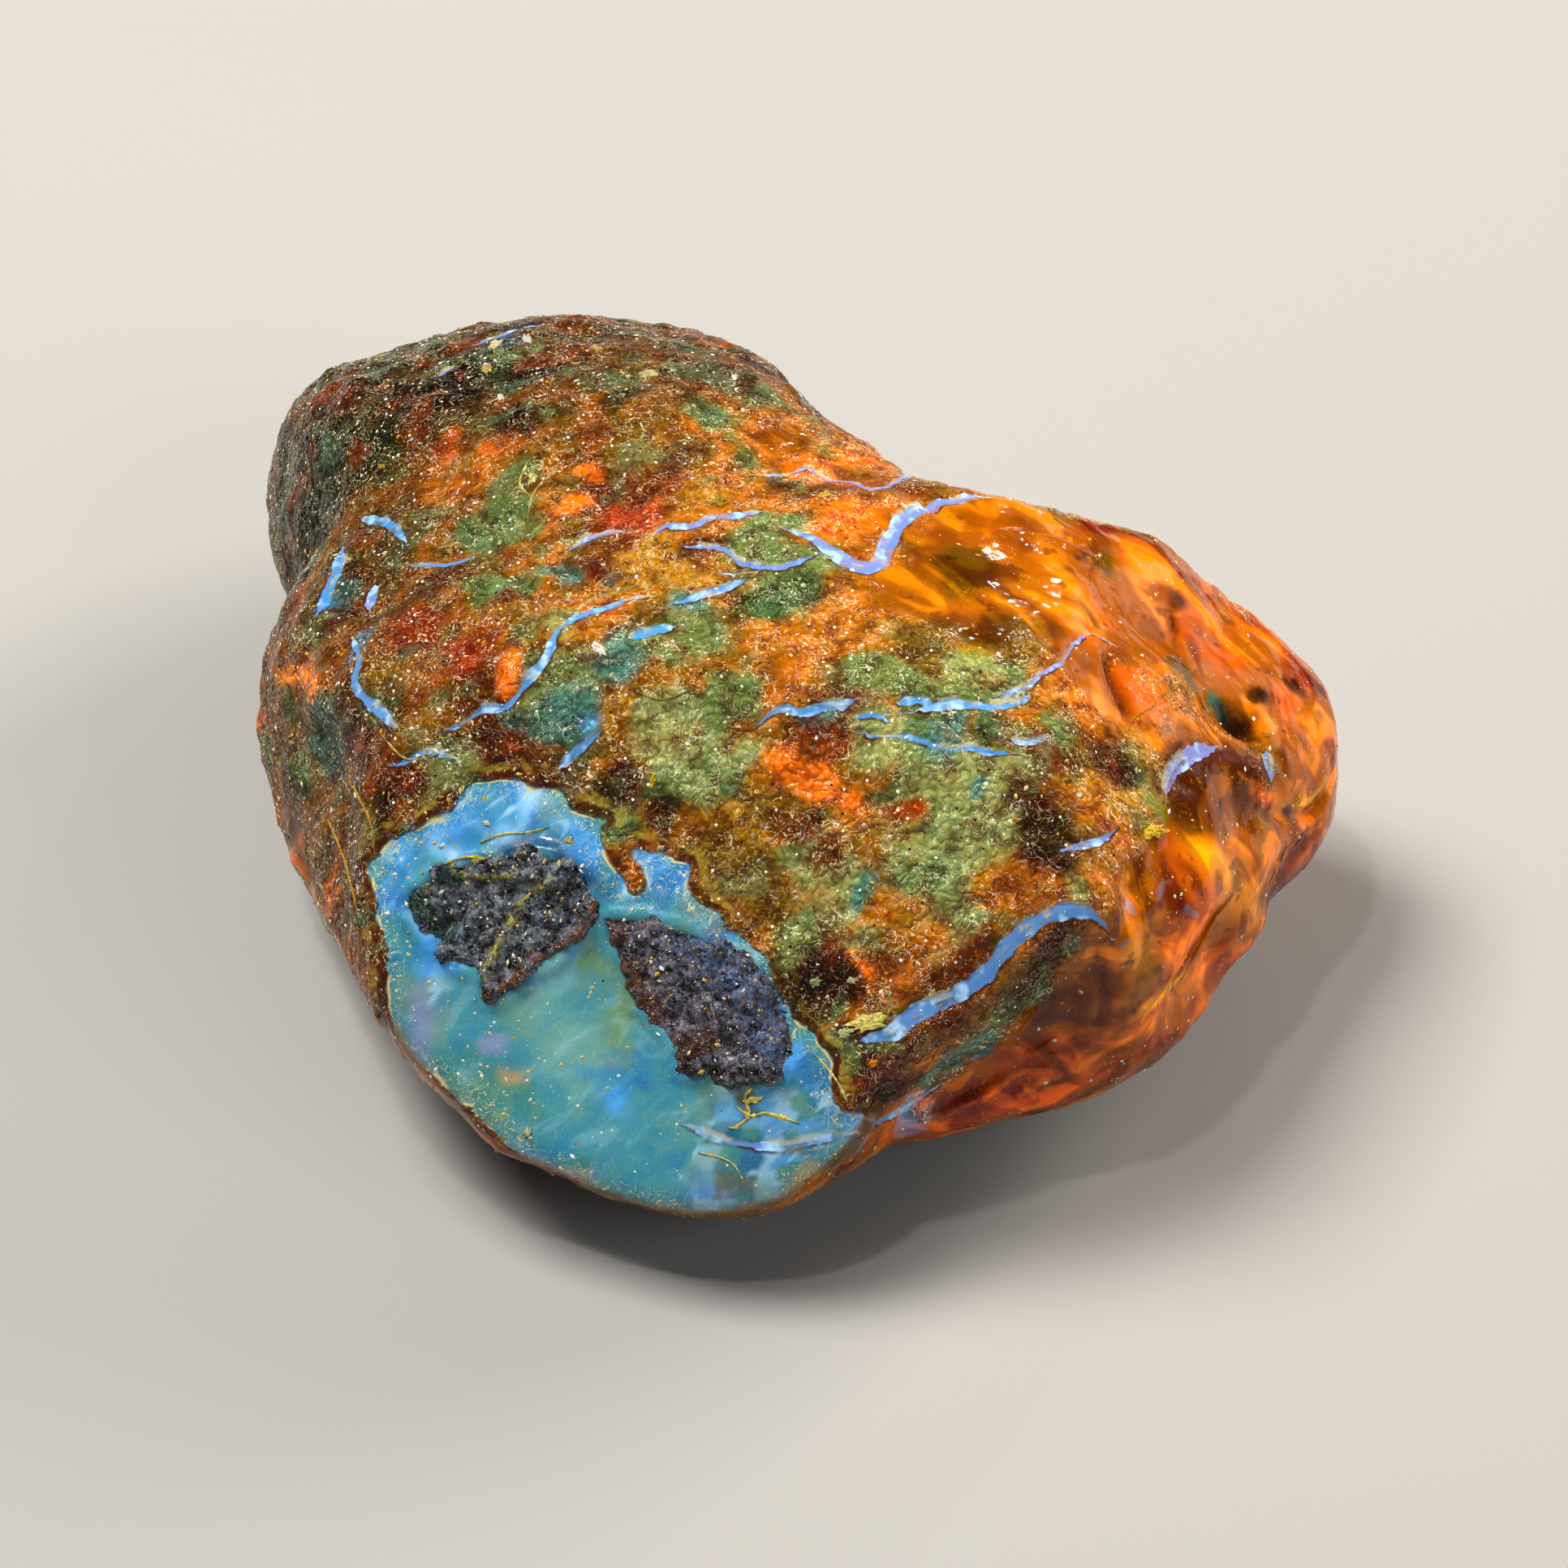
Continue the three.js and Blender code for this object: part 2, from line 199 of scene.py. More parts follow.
# Where each colour of the crust lies: centres and radii in pixels, under the colour's name
PALETTE = {
    "moss": "#2c3a12",
    "teal": "#416c60",
    "fern": "#5c6c3c",
    "sage": "#868c56",
    "olive": "#6a4e18",
    "tan": "#9c7230",
    "ochre": "#a05e10",
    "honey": "#c2700a",
    "orange": "#e06a06",
    "fire": "#e87a30",
    "rust": "#963204",
    "russet": "#5e280a",
    "umber": "#341203",
    "dusk": "#4c2614",
    "azure": "#5a92ac",
    "mist": "#8c8a94",
}
PATCHES = {
    "moss": [
        (400, 610, 84), (470, 560, 46), (560, 1030, 26), (930, 745, 30), (430, 690, 30), (1220, 905, 22),
        (985, 725, 34), (520, 500, 30), (760, 500, 26),
    ],
    "teal": [
        (425, 735, 28), (405, 915, 50), (775, 812, 38), (700, 880, 38), (500, 800, 20), (1150, 1318, 32),
        (1200, 1285, 36), (690, 700, 20), (520, 1010, 22), (1010, 890, 20), (1160, 905, 24),
        (840, 745, 22), (1065, 1100, 18), (1210, 960, 14), (640, 870, 20), (740, 715, 16),
        (1505, 870, 18),
    ],
    "fern": [
        (345, 655, 34), (690, 835, 44), (845, 790, 46), (900, 850, 34), (1090, 835, 36), (1300, 905, 26),
        (1245, 1235, 26), (630, 590, 34), (470, 870, 30), (990, 1150, 30), (1230, 850, 36),
        (1130, 1080, 30), (690, 1000, 14), (380, 960, 30), (1040, 1300, 18), (590, 985, 20),
    ],
    "sage": [
        (1180, 960, 64), (1160, 1045, 76), (1230, 1010, 34), (830, 905, 46), (560, 950, 34),
        (1030, 1100, 40), (1180, 1110, 40), (650, 650, 26), (1200, 830, 30), (610, 440, 30),
        (1080, 910, 34), (1330, 1100, 22), (910, 930, 30), (1000, 1060, 26), (1080, 1160, 24),
        (860, 980, 24), (700, 770, 24), (1420, 1000, 20),
    ],
    "olive": [
        (890, 1060, 56), (820, 480, 50), (760, 560, 40), (1160, 800, 50), (1240, 790, 40),
        (600, 700, 40), (940, 1100, 44), (350, 1110, 30), (1450, 830, 30), (740, 470, 30),
        (960, 1000, 30), (1330, 930, 26), (1190, 700, 40), (1370, 700, 22),
    ],
    "tan": [
        (800, 690, 46), (865, 615, 30), (480, 830, 34), (735, 730, 28), (930, 1010, 34), (1380, 985, 40),
        (870, 715, 44), (1345, 960, 30), (520, 910, 26), (620, 760, 40), (760, 880, 26),
        (1110, 1010, 26),
    ],
    "ochre": [
        (1050, 765, 60), (1110, 735, 56), (1060, 1030, 44), (960, 780, 34), (1130, 1150, 44),
        (1385, 1045, 40), (370, 1010, 40), (650, 690, 30), (960, 520, 34), (1225, 1085, 34),
        (1350, 870, 34),
    ],
    "honey": [
        (1200, 720, 50), (1270, 730, 44), (1410, 1140, 50), (1385, 1205, 46), (980, 825, 22),
        (1615, 880, 34), (350, 1060, 30), (1340, 860, 30), (950, 545, 36), (560, 590, 56),
        (1450, 1240, 34),
    ],
    "orange": [
        (1335, 760, 46), (1420, 690, 44), (1480, 780, 54), (1480, 1100, 60), (1450, 1060, 34),
        (1450, 1180, 50), (1590, 870, 34), (378, 838, 22), (545, 560, 22), (1000, 585, 30),
        (1400, 850, 34), (610, 560, 16), (1020, 650, 24), (1555, 975, 18),
    ],
    "fire": [
        (975, 935, 26), (1010, 965, 28), (1050, 1000, 18), (712, 632, 22), (738, 578, 16),
        (634, 820, 18), (1050, 640, 34), (890, 428, 20), (562, 530, 14), (1075, 1185, 18),
        (1085, 565, 26), (1040, 560, 20), (1360, 1290, 22), (1130, 1365, 14),
    ],
    "rust": [
        (780, 640, 40), (520, 780, 42), (580, 800, 36), (1250, 1320, 44), (1190, 1370, 36),
        (1330, 1290, 40), (430, 480, 44), (1600, 1050, 44), (1570, 1130, 44), (325, 570, 22),
        (1110, 1000, 22), (1200, 590, 30), (430, 1190, 44), (470, 1280, 36), (1480, 720, 26),
        (1640, 930, 22), (1510, 1180, 30), (1560, 770, 40), (1605, 830, 30), (1430, 655, 30),
        (1350, 640, 26), (900, 420, 22),
    ],
    "russet": [
        (870, 670, 30), (600, 850, 50), (640, 920, 44), (900, 470, 40), (440, 1080, 44),
        (1020, 1060, 22), (1180, 1180, 50), (350, 770, 34), (820, 600, 34), (1300, 1240, 36),
        (980, 1020, 24), (540, 720, 36), (620, 740, 26), (1430, 740, 20), (1100, 1190, 26),
        (700, 960, 22),
    ],
    "umber": [
        (700, 960, 30), (760, 975, 36), (820, 1010, 26), (1000, 1235, 46), (1030, 1195, 42),
        (1095, 1345, 46), (1060, 1290, 26), (1290, 1180, 40), (1270, 1215, 26), (1290, 1035, 44),
        (1270, 990, 22), (1310, 1075, 24), (1360, 915, 36), (560, 480, 44), (650, 470, 34),
        (1525, 890, 22), (1590, 1000, 22), (640, 520, 30), (920, 1010, 16), (370, 720, 22),
        (1390, 950, 24), (870, 505, 20), (480, 1000, 20), (1545, 850, 18), (1600, 845, 12),
        (1490, 700, 14),
    ],
    "dusk": [
        (1480, 980, 60), (1540, 950, 46), (960, 600, 26), (1430, 735, 24), (1250, 1180, 16),
        (830, 570, 24), (1500, 1010, 30),
    ],
    "azure": [
        (1120, 1372, 26), (1060, 1400, 26), (440, 800, 18), (620, 425, 20), (640, 410, 18),
        (1195, 1300, 14), (720, 890, 14), (405, 745, 16), (600, 450, 12),
    ],
    "mist": [(1385, 1115, 16), (1432, 1090, 18), (1395, 1165, 16), (1475, 1120, 14), (990, 500, 16)],
}

# Streaks of colour in the amber: width in pixels, colour and route. The bright orange and gold ones are
# partly painted glow of light coming through the clear amber.
STREAKS = [
    (40, "#ff9c12", [(1275, 655), (1310, 710), (1350, 770), (1375, 800)]),
    (44, "#ffa01a", [(1440, 1020), (1490, 1060), (1530, 1105), (1545, 1150)]),
    (40, "#a06c1c", [(1380, 1150), (1410, 1190), (1400, 1240)]),
    (15, "#ffb030", [(1392, 1258), (1430, 1225), (1465, 1188)]),
    (9, "#ff8c10", [(1290, 1330), (1340, 1310), (1400, 1270), (1440, 1235)]),
    (12, "#d04808", [(1200, 1368), (1290, 1350), (1380, 1310), (1425, 1280)]),
    (52, "#6e1803", [(1545, 1200), (1590, 1130), (1622, 1040)]),
    (30, "#a82c04", [(1440, 640), (1530, 700), (1600, 780), (1640, 880)]),
    (26, "#5c2208", [(1450, 960), (1500, 930), (1560, 950), (1600, 1000)]),
    (9, "#ffa828", [(1590, 990), (1615, 985), (1634, 958), (1640, 920)]),
    (12, "#ea6208", [(1490, 700), (1570, 765), (1612, 825)]),
    (9, "#e88010", [(340, 1045), (385, 1105), (425, 1190)]),
    (7, "#c08a20", [(480, 1290), (520, 1345), (590, 1400)]),
    (16, "#5e1c04", [(1364, 790), (1368, 830), (1384, 870), (1392, 905)]),
    (14, "#5e1c04", [(1345, 1150), (1356, 1190), (1362, 1235), (1352, 1280)]),
    (12, "#4a1604", [(1415, 745), (1440, 760), (1450, 790)]),
    (16, "#ff8a0c", [(340, 835), (375, 830), (395, 845), (380, 865)]),
    (12, "#f06a10", [(1005, 575), (1060, 570), (1105, 585)]),
    (12, "#6a2406", [(1200, 1390), (1290, 1372), (1390, 1330)]),
]

# Clear amber: centres, radii in pixels and how clear
CLEAR_PATCHES = [
    (1150, 700, 70, 0.35), (1260, 700, 70, 0.55), (1340, 760, 70, 0.7), (1420, 760, 60, 0.7),
    (1480, 800, 60, 0.85), (1560, 850, 50, 0.9), (1610, 900, 50, 1.0), (1620, 980, 40, 1.0),
    (1500, 960, 60, 0.85), (1440, 1060, 50, 0.75), (1520, 1080, 60, 1.0), (1590, 1100, 50, 1.0),
    (1400, 1140, 50, 0.8), (1470, 1170, 60, 0.95), (1380, 1220, 50, 0.8), (1450, 1270, 50, 0.95),
    (1330, 1300, 60, 0.9), (1240, 1340, 50, 0.9), (1180, 1390, 40, 0.85), (1100, 630, 40, 0.4),
    (1040, 590, 40, 0.4), (980, 530, 36, 0.4), (370, 1040, 34, 0.6), (340, 800, 26, 0.5),
    (980, 830, 26, 0.5), (1000, 960, 34, 0.35), (380, 838, 20, 0.5), (340, 560, 26, 0.5),
    (560, 1390, 30, 0.8), (500, 1310, 26, 0.7), (400, 1120, 30, 0.6), (430, 1200, 30, 0.7),
    (465, 1280, 30, 0.7), (560, 580, 34, 0.5), (950, 545, 30, 0.5), (1110, 740, 50, 0.4),
    (1200, 780, 44, 0.4), (1400, 880, 40, 0.4), (325, 580, 20, 0.6), (350, 1000, 20, 0.5),
    (1240, 650, 46, 0.7), (1320, 670, 50, 0.9), (1400, 690, 50, 0.9), (1460, 720, 50, 0.9),
    (1530, 790, 50, 0.9), (1580, 830, 40, 0.7), (1340, 830, 30, 0.6),
]

# Colours of the polished window, in the same form
WINDOW_PALETTE = {
    "sky": "#56a8ea",
    # partly pale milky amber, partly painted highlight
    "pale": "#a2d4f2",
    "lagoon": "#4a929e",
    "milk": "#70a49c",
    "sea": "#3f8680",
    "sage": "#75986f",
    "mauve": "#8794b8",
    "deep": "#1d4a78",
    "sand": "#b59a68",
    "clay": "#7a664a",
}
WINDOW_PATCHES = {
    "sky": [
        (980, 1310, 26), (1035, 1372, 28), (500, 1055, 30), (560, 1010, 36), (640, 985, 36),
        (700, 1015, 30), (780, 1075, 40), (830, 1080, 30), (890, 1165, 26), (930, 1205, 22),
        (490, 1120, 26), (500, 1180, 22), (960, 1240, 18), (1010, 1340, 26), (520, 1230, 30),
        (850, 1440, 24), (780, 1340, 24), (960, 1420, 22),
    ],
    # Pale patches: partly pale milky amber, partly painted highlights where lamps are mirrored along the
    # glossy upper band
    "pale": [
        (635, 1005, 20), (770, 1092, 18), (800, 1112, 14), (905, 1172, 14), (515, 1150, 20),
        (560, 1035, 18), (600, 1015, 14), (660, 990, 14), (490, 1090, 14), (660, 1430, 14),
        (900, 1490, 16), (820, 1490, 14), (740, 1330, 12), (480, 1210, 12),
    ],
    "lagoon": [
        (800, 1400, 44), (560, 1250, 44), (610, 1270, 36), (880, 1400, 40), (820, 1350, 40),
        (740, 1400, 40), (700, 1360, 30),
    ],
    "milk": [
        (660, 1240, 40), (700, 1300, 30), (740, 1290, 34), (690, 1180, 26), (740, 1450, 28),
        (800, 1450, 24),
    ],
    "sea": [
        (600, 1335, 32), (640, 1350, 28), (940, 1390, 30), (1020, 1390, 22), (690, 1410, 22),
        (560, 1330, 26), (575, 1185, 18), (960, 1340, 20),
    ],
    "sage": [
        (735, 1200, 30), (775, 1255, 28), (800, 1290, 20), (560, 1380, 20), (755, 1230, 24),
        (600, 1380, 22), (920, 1450, 20),
    ],
    "mauve": [
        (530, 1290, 30), (860, 1480, 30), (810, 1480, 22), (960, 1430, 24), (700, 1435, 18),
        (620, 1300, 14),
    ],
    "clay": [(848, 1120, 24), (880, 1136, 24), (800, 1165, 16)],
    "deep": [
        (600, 1048, 20), (630, 1040, 22), (665, 1036, 24), (700, 1046, 22), (470, 1120, 14),
        (920, 1350, 14), (860, 1465, 12), (790, 1478, 12), (990, 1360, 12), (540, 1215, 12),
        (600, 1215, 10), (905, 1420, 14), (970, 1410, 10),
    ],
    "sand": [
        (590, 1395, 20), (660, 1455, 20), (740, 1492, 18), (840, 1508, 16), (960, 1490, 22),
        (640, 1335, 12), (770, 1290, 12), (1000, 1450, 18), (690, 1340, 10),
    ],
}

# Pits and bosses: centre and radius in pixels, and the height in millimetres
DIMPLES = [
    (1525, 892, 18, -1.0), (1545, 905, 12, -0.6), (1508, 880, 12, -0.5), (757, 1040, 11, -0.5),
    (770, 1062, 11, -0.5), (781, 1084, 11, -0.6), (864, 1127, 34, 0.55), (1380, 1170, 22, 0.5),
    (1368, 1120, 18, 0.35), (1170, 795, 22, 0.3), (990, 1225, 26, -0.5), (1040, 1240, 16, -0.4),
    (1090, 1345, 26, -0.5), (1290, 1035, 26, -0.35), (420, 740, 22, -0.9), (395, 905, 22, -0.7),
    (420, 950, 18, -0.6), (690, 705, 14, -0.4), (776, 815, 18, -0.4), (1422, 1022, 14, 0.4),
    (720, 870, 20, 0.3), (640, 830, 16, 0.3), (1100, 1230, 20, -0.3), (880, 800, 18, -0.4),
]

# Cracks and steps: width in pixels, height in millimetres, and the route
CREASES = [
    (8, -0.5, [(1538, 992), (1560, 1004), (1588, 1000), (1610, 1006), (1628, 985), (1644, 958)]),
    (7, -0.5, [(1364, 790), (1368, 830), (1384, 870), (1392, 905)]),
    (7, -0.4, [(1340, 1150), (1352, 1185), (1362, 1230), (1352, 1275)]),
    (9, -0.5, [(600, 690), (640, 720), (660, 760), (640, 800), (600, 830)]),
    (8, 0.35, [(1045, 1245), (1100, 1225), (1160, 1190), (1210, 1150), (1260, 1110), (1320, 1095)]),
    (8, -0.4, [(505, 1000), (540, 975), (600, 950), (640, 935)]),
    (10, -0.5, [(330, 1010), (370, 1060), (405, 1120), (430, 1180)]),
    (8, -0.5, [(1110, 600), (1180, 640), (1290, 650), (1380, 690)]),
    (8, -0.45, [(860, 590), (910, 575), (960, 560), (1000, 545)]),
]

# Nearly black marks: painted shade in the pits and cracks, and the crust's own dark patches: centre, radius
# in pixels and strength
DARK_AND_PIT_SHADE_PATCHES = [
    (1522, 892, 26, 1.0), (1542, 905, 16, 1.0), (1508, 878, 16, 1.0), (1548, 855, 18, 0.8),
    (1598, 843, 14, 0.8), (1560, 1000, 14, 0.9), (1590, 1003, 14, 0.9), (1612, 1000, 10, 0.9),
    (1275, 1040, 22, 0.5), (1300, 1020, 16, 0.5), (1240, 900, 14, 0.5), (995, 1228, 34, 0.6),
    (1035, 1215, 30, 0.6), (1090, 1350, 28, 0.7), (1060, 1300, 14, 0.6), (815, 1000, 20, 0.5),
    (765, 975, 20, 0.5), (700, 962, 16, 0.5), (1290, 1190, 22, 0.5), (1265, 1215, 18, 0.5),
    (560, 480, 26, 0.4), (660, 480, 24, 0.4), (640, 530, 18, 0.4), (425, 745, 14, 0.5),
    (412, 925, 20, 0.5), (590, 850, 22, 0.4), (640, 925, 20, 0.4), (1365, 905, 22, 0.5),
    (1310, 880, 14, 0.4), (880, 590, 16, 0.4),
]

# The lower right of the window is broken into small shards: centres and radii in pixels
SHARD_PATCHES = [
    (900, 1372, 36), (950, 1400, 40), (1000, 1385, 34), (880, 1440, 36), (940, 1450, 34),
    (860, 1480, 24), (1015, 1345, 18),
]
SHARD_TINTS = ("#1f4f80", "#6a4c34", "#a4c8e4", "#3f7f78", "#5c9cd8")

# A winding burrow of crust that crosses the top of the window: width in pixels and the route
BURROW = (24, [(752, 1022), (758, 1046), (768, 1062), (778, 1074), (784, 1090)])

# Where the surface is drawn out in long ridges: the direction, and centres with radii in pixels
FLOW_AREAS = [
    ((0.75, 0.66, 0.1), [
        (1180, 1385, 50), (1250, 1350, 50), (1330, 1310, 50), (1400, 1260, 50), (1470, 1200, 50),
        (1540, 1130, 50), (1600, 1050, 46),
    ]),
    ((0.1, -0.2, 1.0), [
        (360, 1040, 44), (410, 1100, 50), (440, 1180, 50), (470, 1260, 46), (500, 1320, 30),
        (330, 900, 30), (330, 700, 30),
    ]),
]


# The flakes: their dark, pale and second colours, where the second lies, and streaks with their width
# in pixels, height in millimetres, colour and route
FLAKE_MARKS = {
    "left": (
        ("#14171c", "#7f868e", "#243f30"),
        [(515, 1115, 20), (550, 1145, 18), (560, 1080, 16)],
        [
            (6, 0.3, "#a89c3c", [(680, 1085), (655, 1100), (640, 1120), (612, 1170), (596, 1200)]),
            (4, 0.3, "#8c8434", [(560, 1075), (600, 1080), (640, 1078)]),
            (6, 0.4, "#7c4a26", [
                (603, 1224), (632, 1206), (652, 1188), (692, 1164), (720, 1138), (727, 1118),
            ]),
        ],
    ),
    "right": (
        ("#1a1416", "#86808a", "#4a2a16"),
        [(756, 1150, 22), (776, 1196, 22), (802, 1245, 24), (834, 1300, 24), (870, 1280, 18)],
        [
            (6, 0.3, "#6e4222", [(752, 1140), (780, 1204), (808, 1248), (836, 1298)]),
            (10, 0.5, "#0c0808", [(842, 1310), (873, 1314), (892, 1324), (928, 1321), (952, 1316)]),
            # Painted sheen: a blue-grey streak where the flake's right side catches the light.
            (24, 0.0, "#5c6e90", [(850, 1165), (900, 1200), (935, 1250), (950, 1300)]),
        ],
    ),
}

# Ragged plates: place, length, width and angle in the frame, and colour
PLATES = [
    (1422, 1025, 38, 17, 12, "#e8c440"), (1070, 1260, 62, 24, 14, "#ddd27a"),
    (1040, 1272, 26, 14, 20, "#b8c48a"), (1005, 1210, 18, 13, 40, "#a9bc84"),
    (1050, 1208, 14, 10, 10, "#d5d6a8"), (738, 800, 24, 13, -45, "#f0ead8"),
    (805, 960, 24, 8, 76, "#e6c53c"), (1015, 610, 20, 8, 20, "#d8b44a"),
    (862, 566, 14, 8, 60, "#cdb26a"), (905, 465, 9, 8, 0, "#f2ece0"), (610, 425, 20, 12, 30, "#d6cfa6"),
    (650, 418, 16, 10, -10, "#cfd4cc"), (600, 455, 16, 10, 10, "#cbb868"),
    (617, 490, 9, 8, 0, "#f2ece0"), (655, 590, 20, 10, 80, "#e0d98a"), (700, 1035, 14, 8, 30, "#d9cf90"),
    (590, 1060, 26, 9, 20, "#c9b64a"), (545, 1072, 18, 9, 45, "#b7a63e"),
    (600, 1015, 12, 8, -30, "#dcdcb0"), (523, 1095, 14, 8, 60, "#b9aa48"),
    (930, 1355, 30, 9, 10, "#d9cc70"), (650, 1395, 14, 10, 50, "#ccd0a0"),
    (1075, 1310, 14, 10, 20, "#f09a1c"), (1095, 1225, 12, 8, 0, "#b8c48a"),
    (1560, 905, 12, 8, 30, "#e0a030"), (1600, 985, 16, 9, 60, "#d99c2c"),
    (1252, 1010, 10, 7, 0, "#e0b040"), (800, 460, 26, 10, 10, "#c9c48c"),
    (735, 430, 16, 9, -20, "#c2b070"), (470, 575, 9, 7, 0, "#c8b85a"), (815, 1045, 10, 7, 0, "#f0e6c0"),
    (640, 1145, 12, 7, 60, "#a59a4a"), (700, 735, 14, 7, 60, "#d8cf90"), (1330, 980, 9, 6, 0, "#efe7c6"),
    (1180, 1020, 8, 6, 0, "#efe7c6"), (360, 825, 16, 8, 70, "#ffa820"),
]

# Threads: width in pixels, colour and route
STRANDS = [
    (3, "#c9a23a", [
        (1386, 905), (1398, 884), (1418, 872), (1428, 858), (1446, 850), (1456, 838), (1477, 823),
    ]),
    (4, "#cfc68a", [(591, 1038), (620, 1028), (650, 1026), (677, 1019)]),
    (5, "#c8b648", [(540, 1068), (575, 1056), (612, 1062), (650, 1052)]),
    (4, "#c8b648", [(520, 1092), (545, 1080), (562, 1062)]),
    (6, "#dccf6a", [(905, 1362), (925, 1375), (945, 1372), (985, 1384)]),
    (5, "#dccf6a", [(925, 1375), (918, 1352), (928, 1340)]),
    (5, "#dccf6a", [(925, 1375), (905, 1390), (896, 1388)]),
    (4, "#d5cc80", [(650, 640), (655, 612), (672, 590), (690, 575)]),
    (4, "#d5cc80", [(655, 612), (640, 596), (650, 570)]),
    (3, "#cfc68a", [(700, 760), (730, 738), (760, 730), (790, 722)]),
    (3, "#b9b070", [(560, 640), (600, 650), (640, 668), (668, 700)]),
    (3, "#cfc68a", [(870, 700), (905, 712), (940, 708)]),
    (3, "#d6c78a", [(470, 905), (500, 935), (540, 930)]),
    (3, "#cda23a", [(430, 960), (455, 1010), (462, 1060)]),
    (3, "#cda23a", [(405, 1010), (425, 1060), (440, 1120)]),
    (4, "#e0d68c", [(1005, 1300), (1030, 1330), (1046, 1362)]),
    (3, "#e0d68c", [(860, 1420), (900, 1432), (918, 1460)]),
    (3, "#b9b070", [(780, 850), (815, 862), (850, 850)]),
]
PLATE_SIDES = 22

GRAIN_RADIUS = 0.075
# Grain tints: gold and yellow dust; the white ones also stand as painted glints on the wet crust.
GRAIN_TINTS = ("#f6f0de", "#f3e7b8", "#ead27a", "#e2b13c", "#fbfaf4", "#d9c9a0")
AMBER_GRAINS = 9000
FLAKE_GRAINS = 300
GRAIN_FLOOR = 1.0  # no grain lies lower than this, in millimetres


def colour(code):
    """A linear colour from a six-figure screen colour."""
    parts = [int(code[i : i + 2], 16) / 255 for i in (1, 3, 5)]
    return tuple(((p + 0.055) / 1.055) ** 2.4 if p > 0.04045 else p / 12.92 for p in parts)


def ease(values, low, high):
    """0 up to low and 1 from high, with a smooth step between."""
    t = np.clip((values - low) / (high - low), 0, 1)
    return t * t * (3 - 2 * t)


def pixel_direction(u, v):
    half = FRAME_PX / 2
    return (RIGHT * (u - half) + UP * (half - v) - BACK * FOCAL_PX).normalized()


def unit(vectors):
    return vectors / np.linalg.norm(vectors, axis=-1, keepdims=True)


class Surface:
    """A mesh's points and normals in millimetres, with ways to find places on it."""

    def __init__(self, mesh):
        count = len(mesh.vertices)
        self.points = np.empty(count * 3)
        self.normals = np.empty(count * 3)
        mesh.vertices.foreach_get("co", self.points)
        mesh.vertices.foreach_get("normal", self.normals)
        self.points = self.points.reshape(-1, 3) / MM
        self.normals = self.normals.reshape(-1, 3)
        corners = [vertex.co[:] for vertex in mesh.vertices]
        self.tree = BVHTree.FromPolygons(corners, [face.vertices[:] for face in mesh.polygons])

    def cast(self, u, v):
        """The point that a pixel of the reference frame shows, in millimetres."""
        direction = pixel_direction(u, v)
        hit = self.tree.ray_cast(EYE, direction)[0]
        if hit is None:  # the ray goes by: the place on the edge that it passes closest to
            reach = (TARGET - EYE).length
            passes = [self.tree.find_nearest(EYE + direction * reach * (0.8 + 0.02 * i)) for i in range(21)]
            hit = min(passes, key=lambda found: found[3])[0]
        return np.array(hit) / MM

    def cast_all(self, pixels):
        return np.array([self.cast(u, v) for u, v in pixels])

    def near(self, places, reach):
        """The numbers of the points inside a box around the places."""
        inside = (self.points > places.min(0) - reach) & (self.points < places.max(0) + reach)
        return np.where(inside.all(1))[0]


def noise_at(points, width, kind="fractal", seed=0.0):
    """Noise at each point, with features of about that width in millimetres."""
    places = points / width + seed
    if kind == "fractal":
        return np.array([noise.fractal(p, 0.9, 2.0, 4) for p in places])
    if kind == "domes":
        return np.array([0.5 - noise.voronoi(p)[0][0] for p in places])
    return np.array([noise.noise(p) for p in places])


def layered(points, layers):
    """The sum of several layers of noise."""
    return sum(amount * noise_at(points, width, kind, seed) for amount, width, kind, seed in layers)


def smooth_route(pixels, step=7.0):
    """Points about a step apart on a smooth curve through the pixels."""
    ends = np.array([pixels[0], *pixels, pixels[-1]], float)
    route = []
    for a, b, c, d in zip(ends, ends[1:], ends[2:], ends[3:]):
        count = max(1, round(np.linalg.norm(c - b) / step))
        for t in np.arange(count) / count:
            curve = 2 * b + t * (c - a + t * (2 * a - 5 * b + 4 * c - d + t * (3 * b - a - 3 * c + d)))
            route.append(curve / 2)
    return [*route, ends[-1]]


def measure_route(surface, pixels, reach):
    """For the points within reach of a route: numbers, distances, sides and shares of the way along."""
    route = surface.cast_all(smooth_route(pixels))
    numbers = surface.near(route, reach)
    points = surface.points[numbers]
    starts, steps = route[:-1], np.diff(route, axis=0)
    lengths = np.maximum(np.linalg.norm(steps, axis=1), 1e-6)
    tangents = steps / lengths[:, None]
    offset = points[:, None] - starts
    along = np.clip(np.einsum("nsk,sk->ns", offset, tangents), 0, lengths)
    gap = offset - along[..., None] * tangents
    distance = np.linalg.norm(gap, axis=2)
    best = distance.argmin(1)
    rows = np.arange(len(points))
    across = np.cross(surface.normals[numbers], tangents[best])
    side = np.sign(np.einsum("nk,nk->n", across, gap[rows, best]))
    travelled = np.cumsum(lengths) - lengths
    share = (travelled[best] + along[rows, best]) / lengths.sum()
    return numbers, distance[rows, best], side, share


def window_plane():
    normal = unit(WINDOW_NORMAL)
    right = unit(np.cross((0.0, 0.0, 1.0), normal))
    return right, np.cross(normal, right), normal


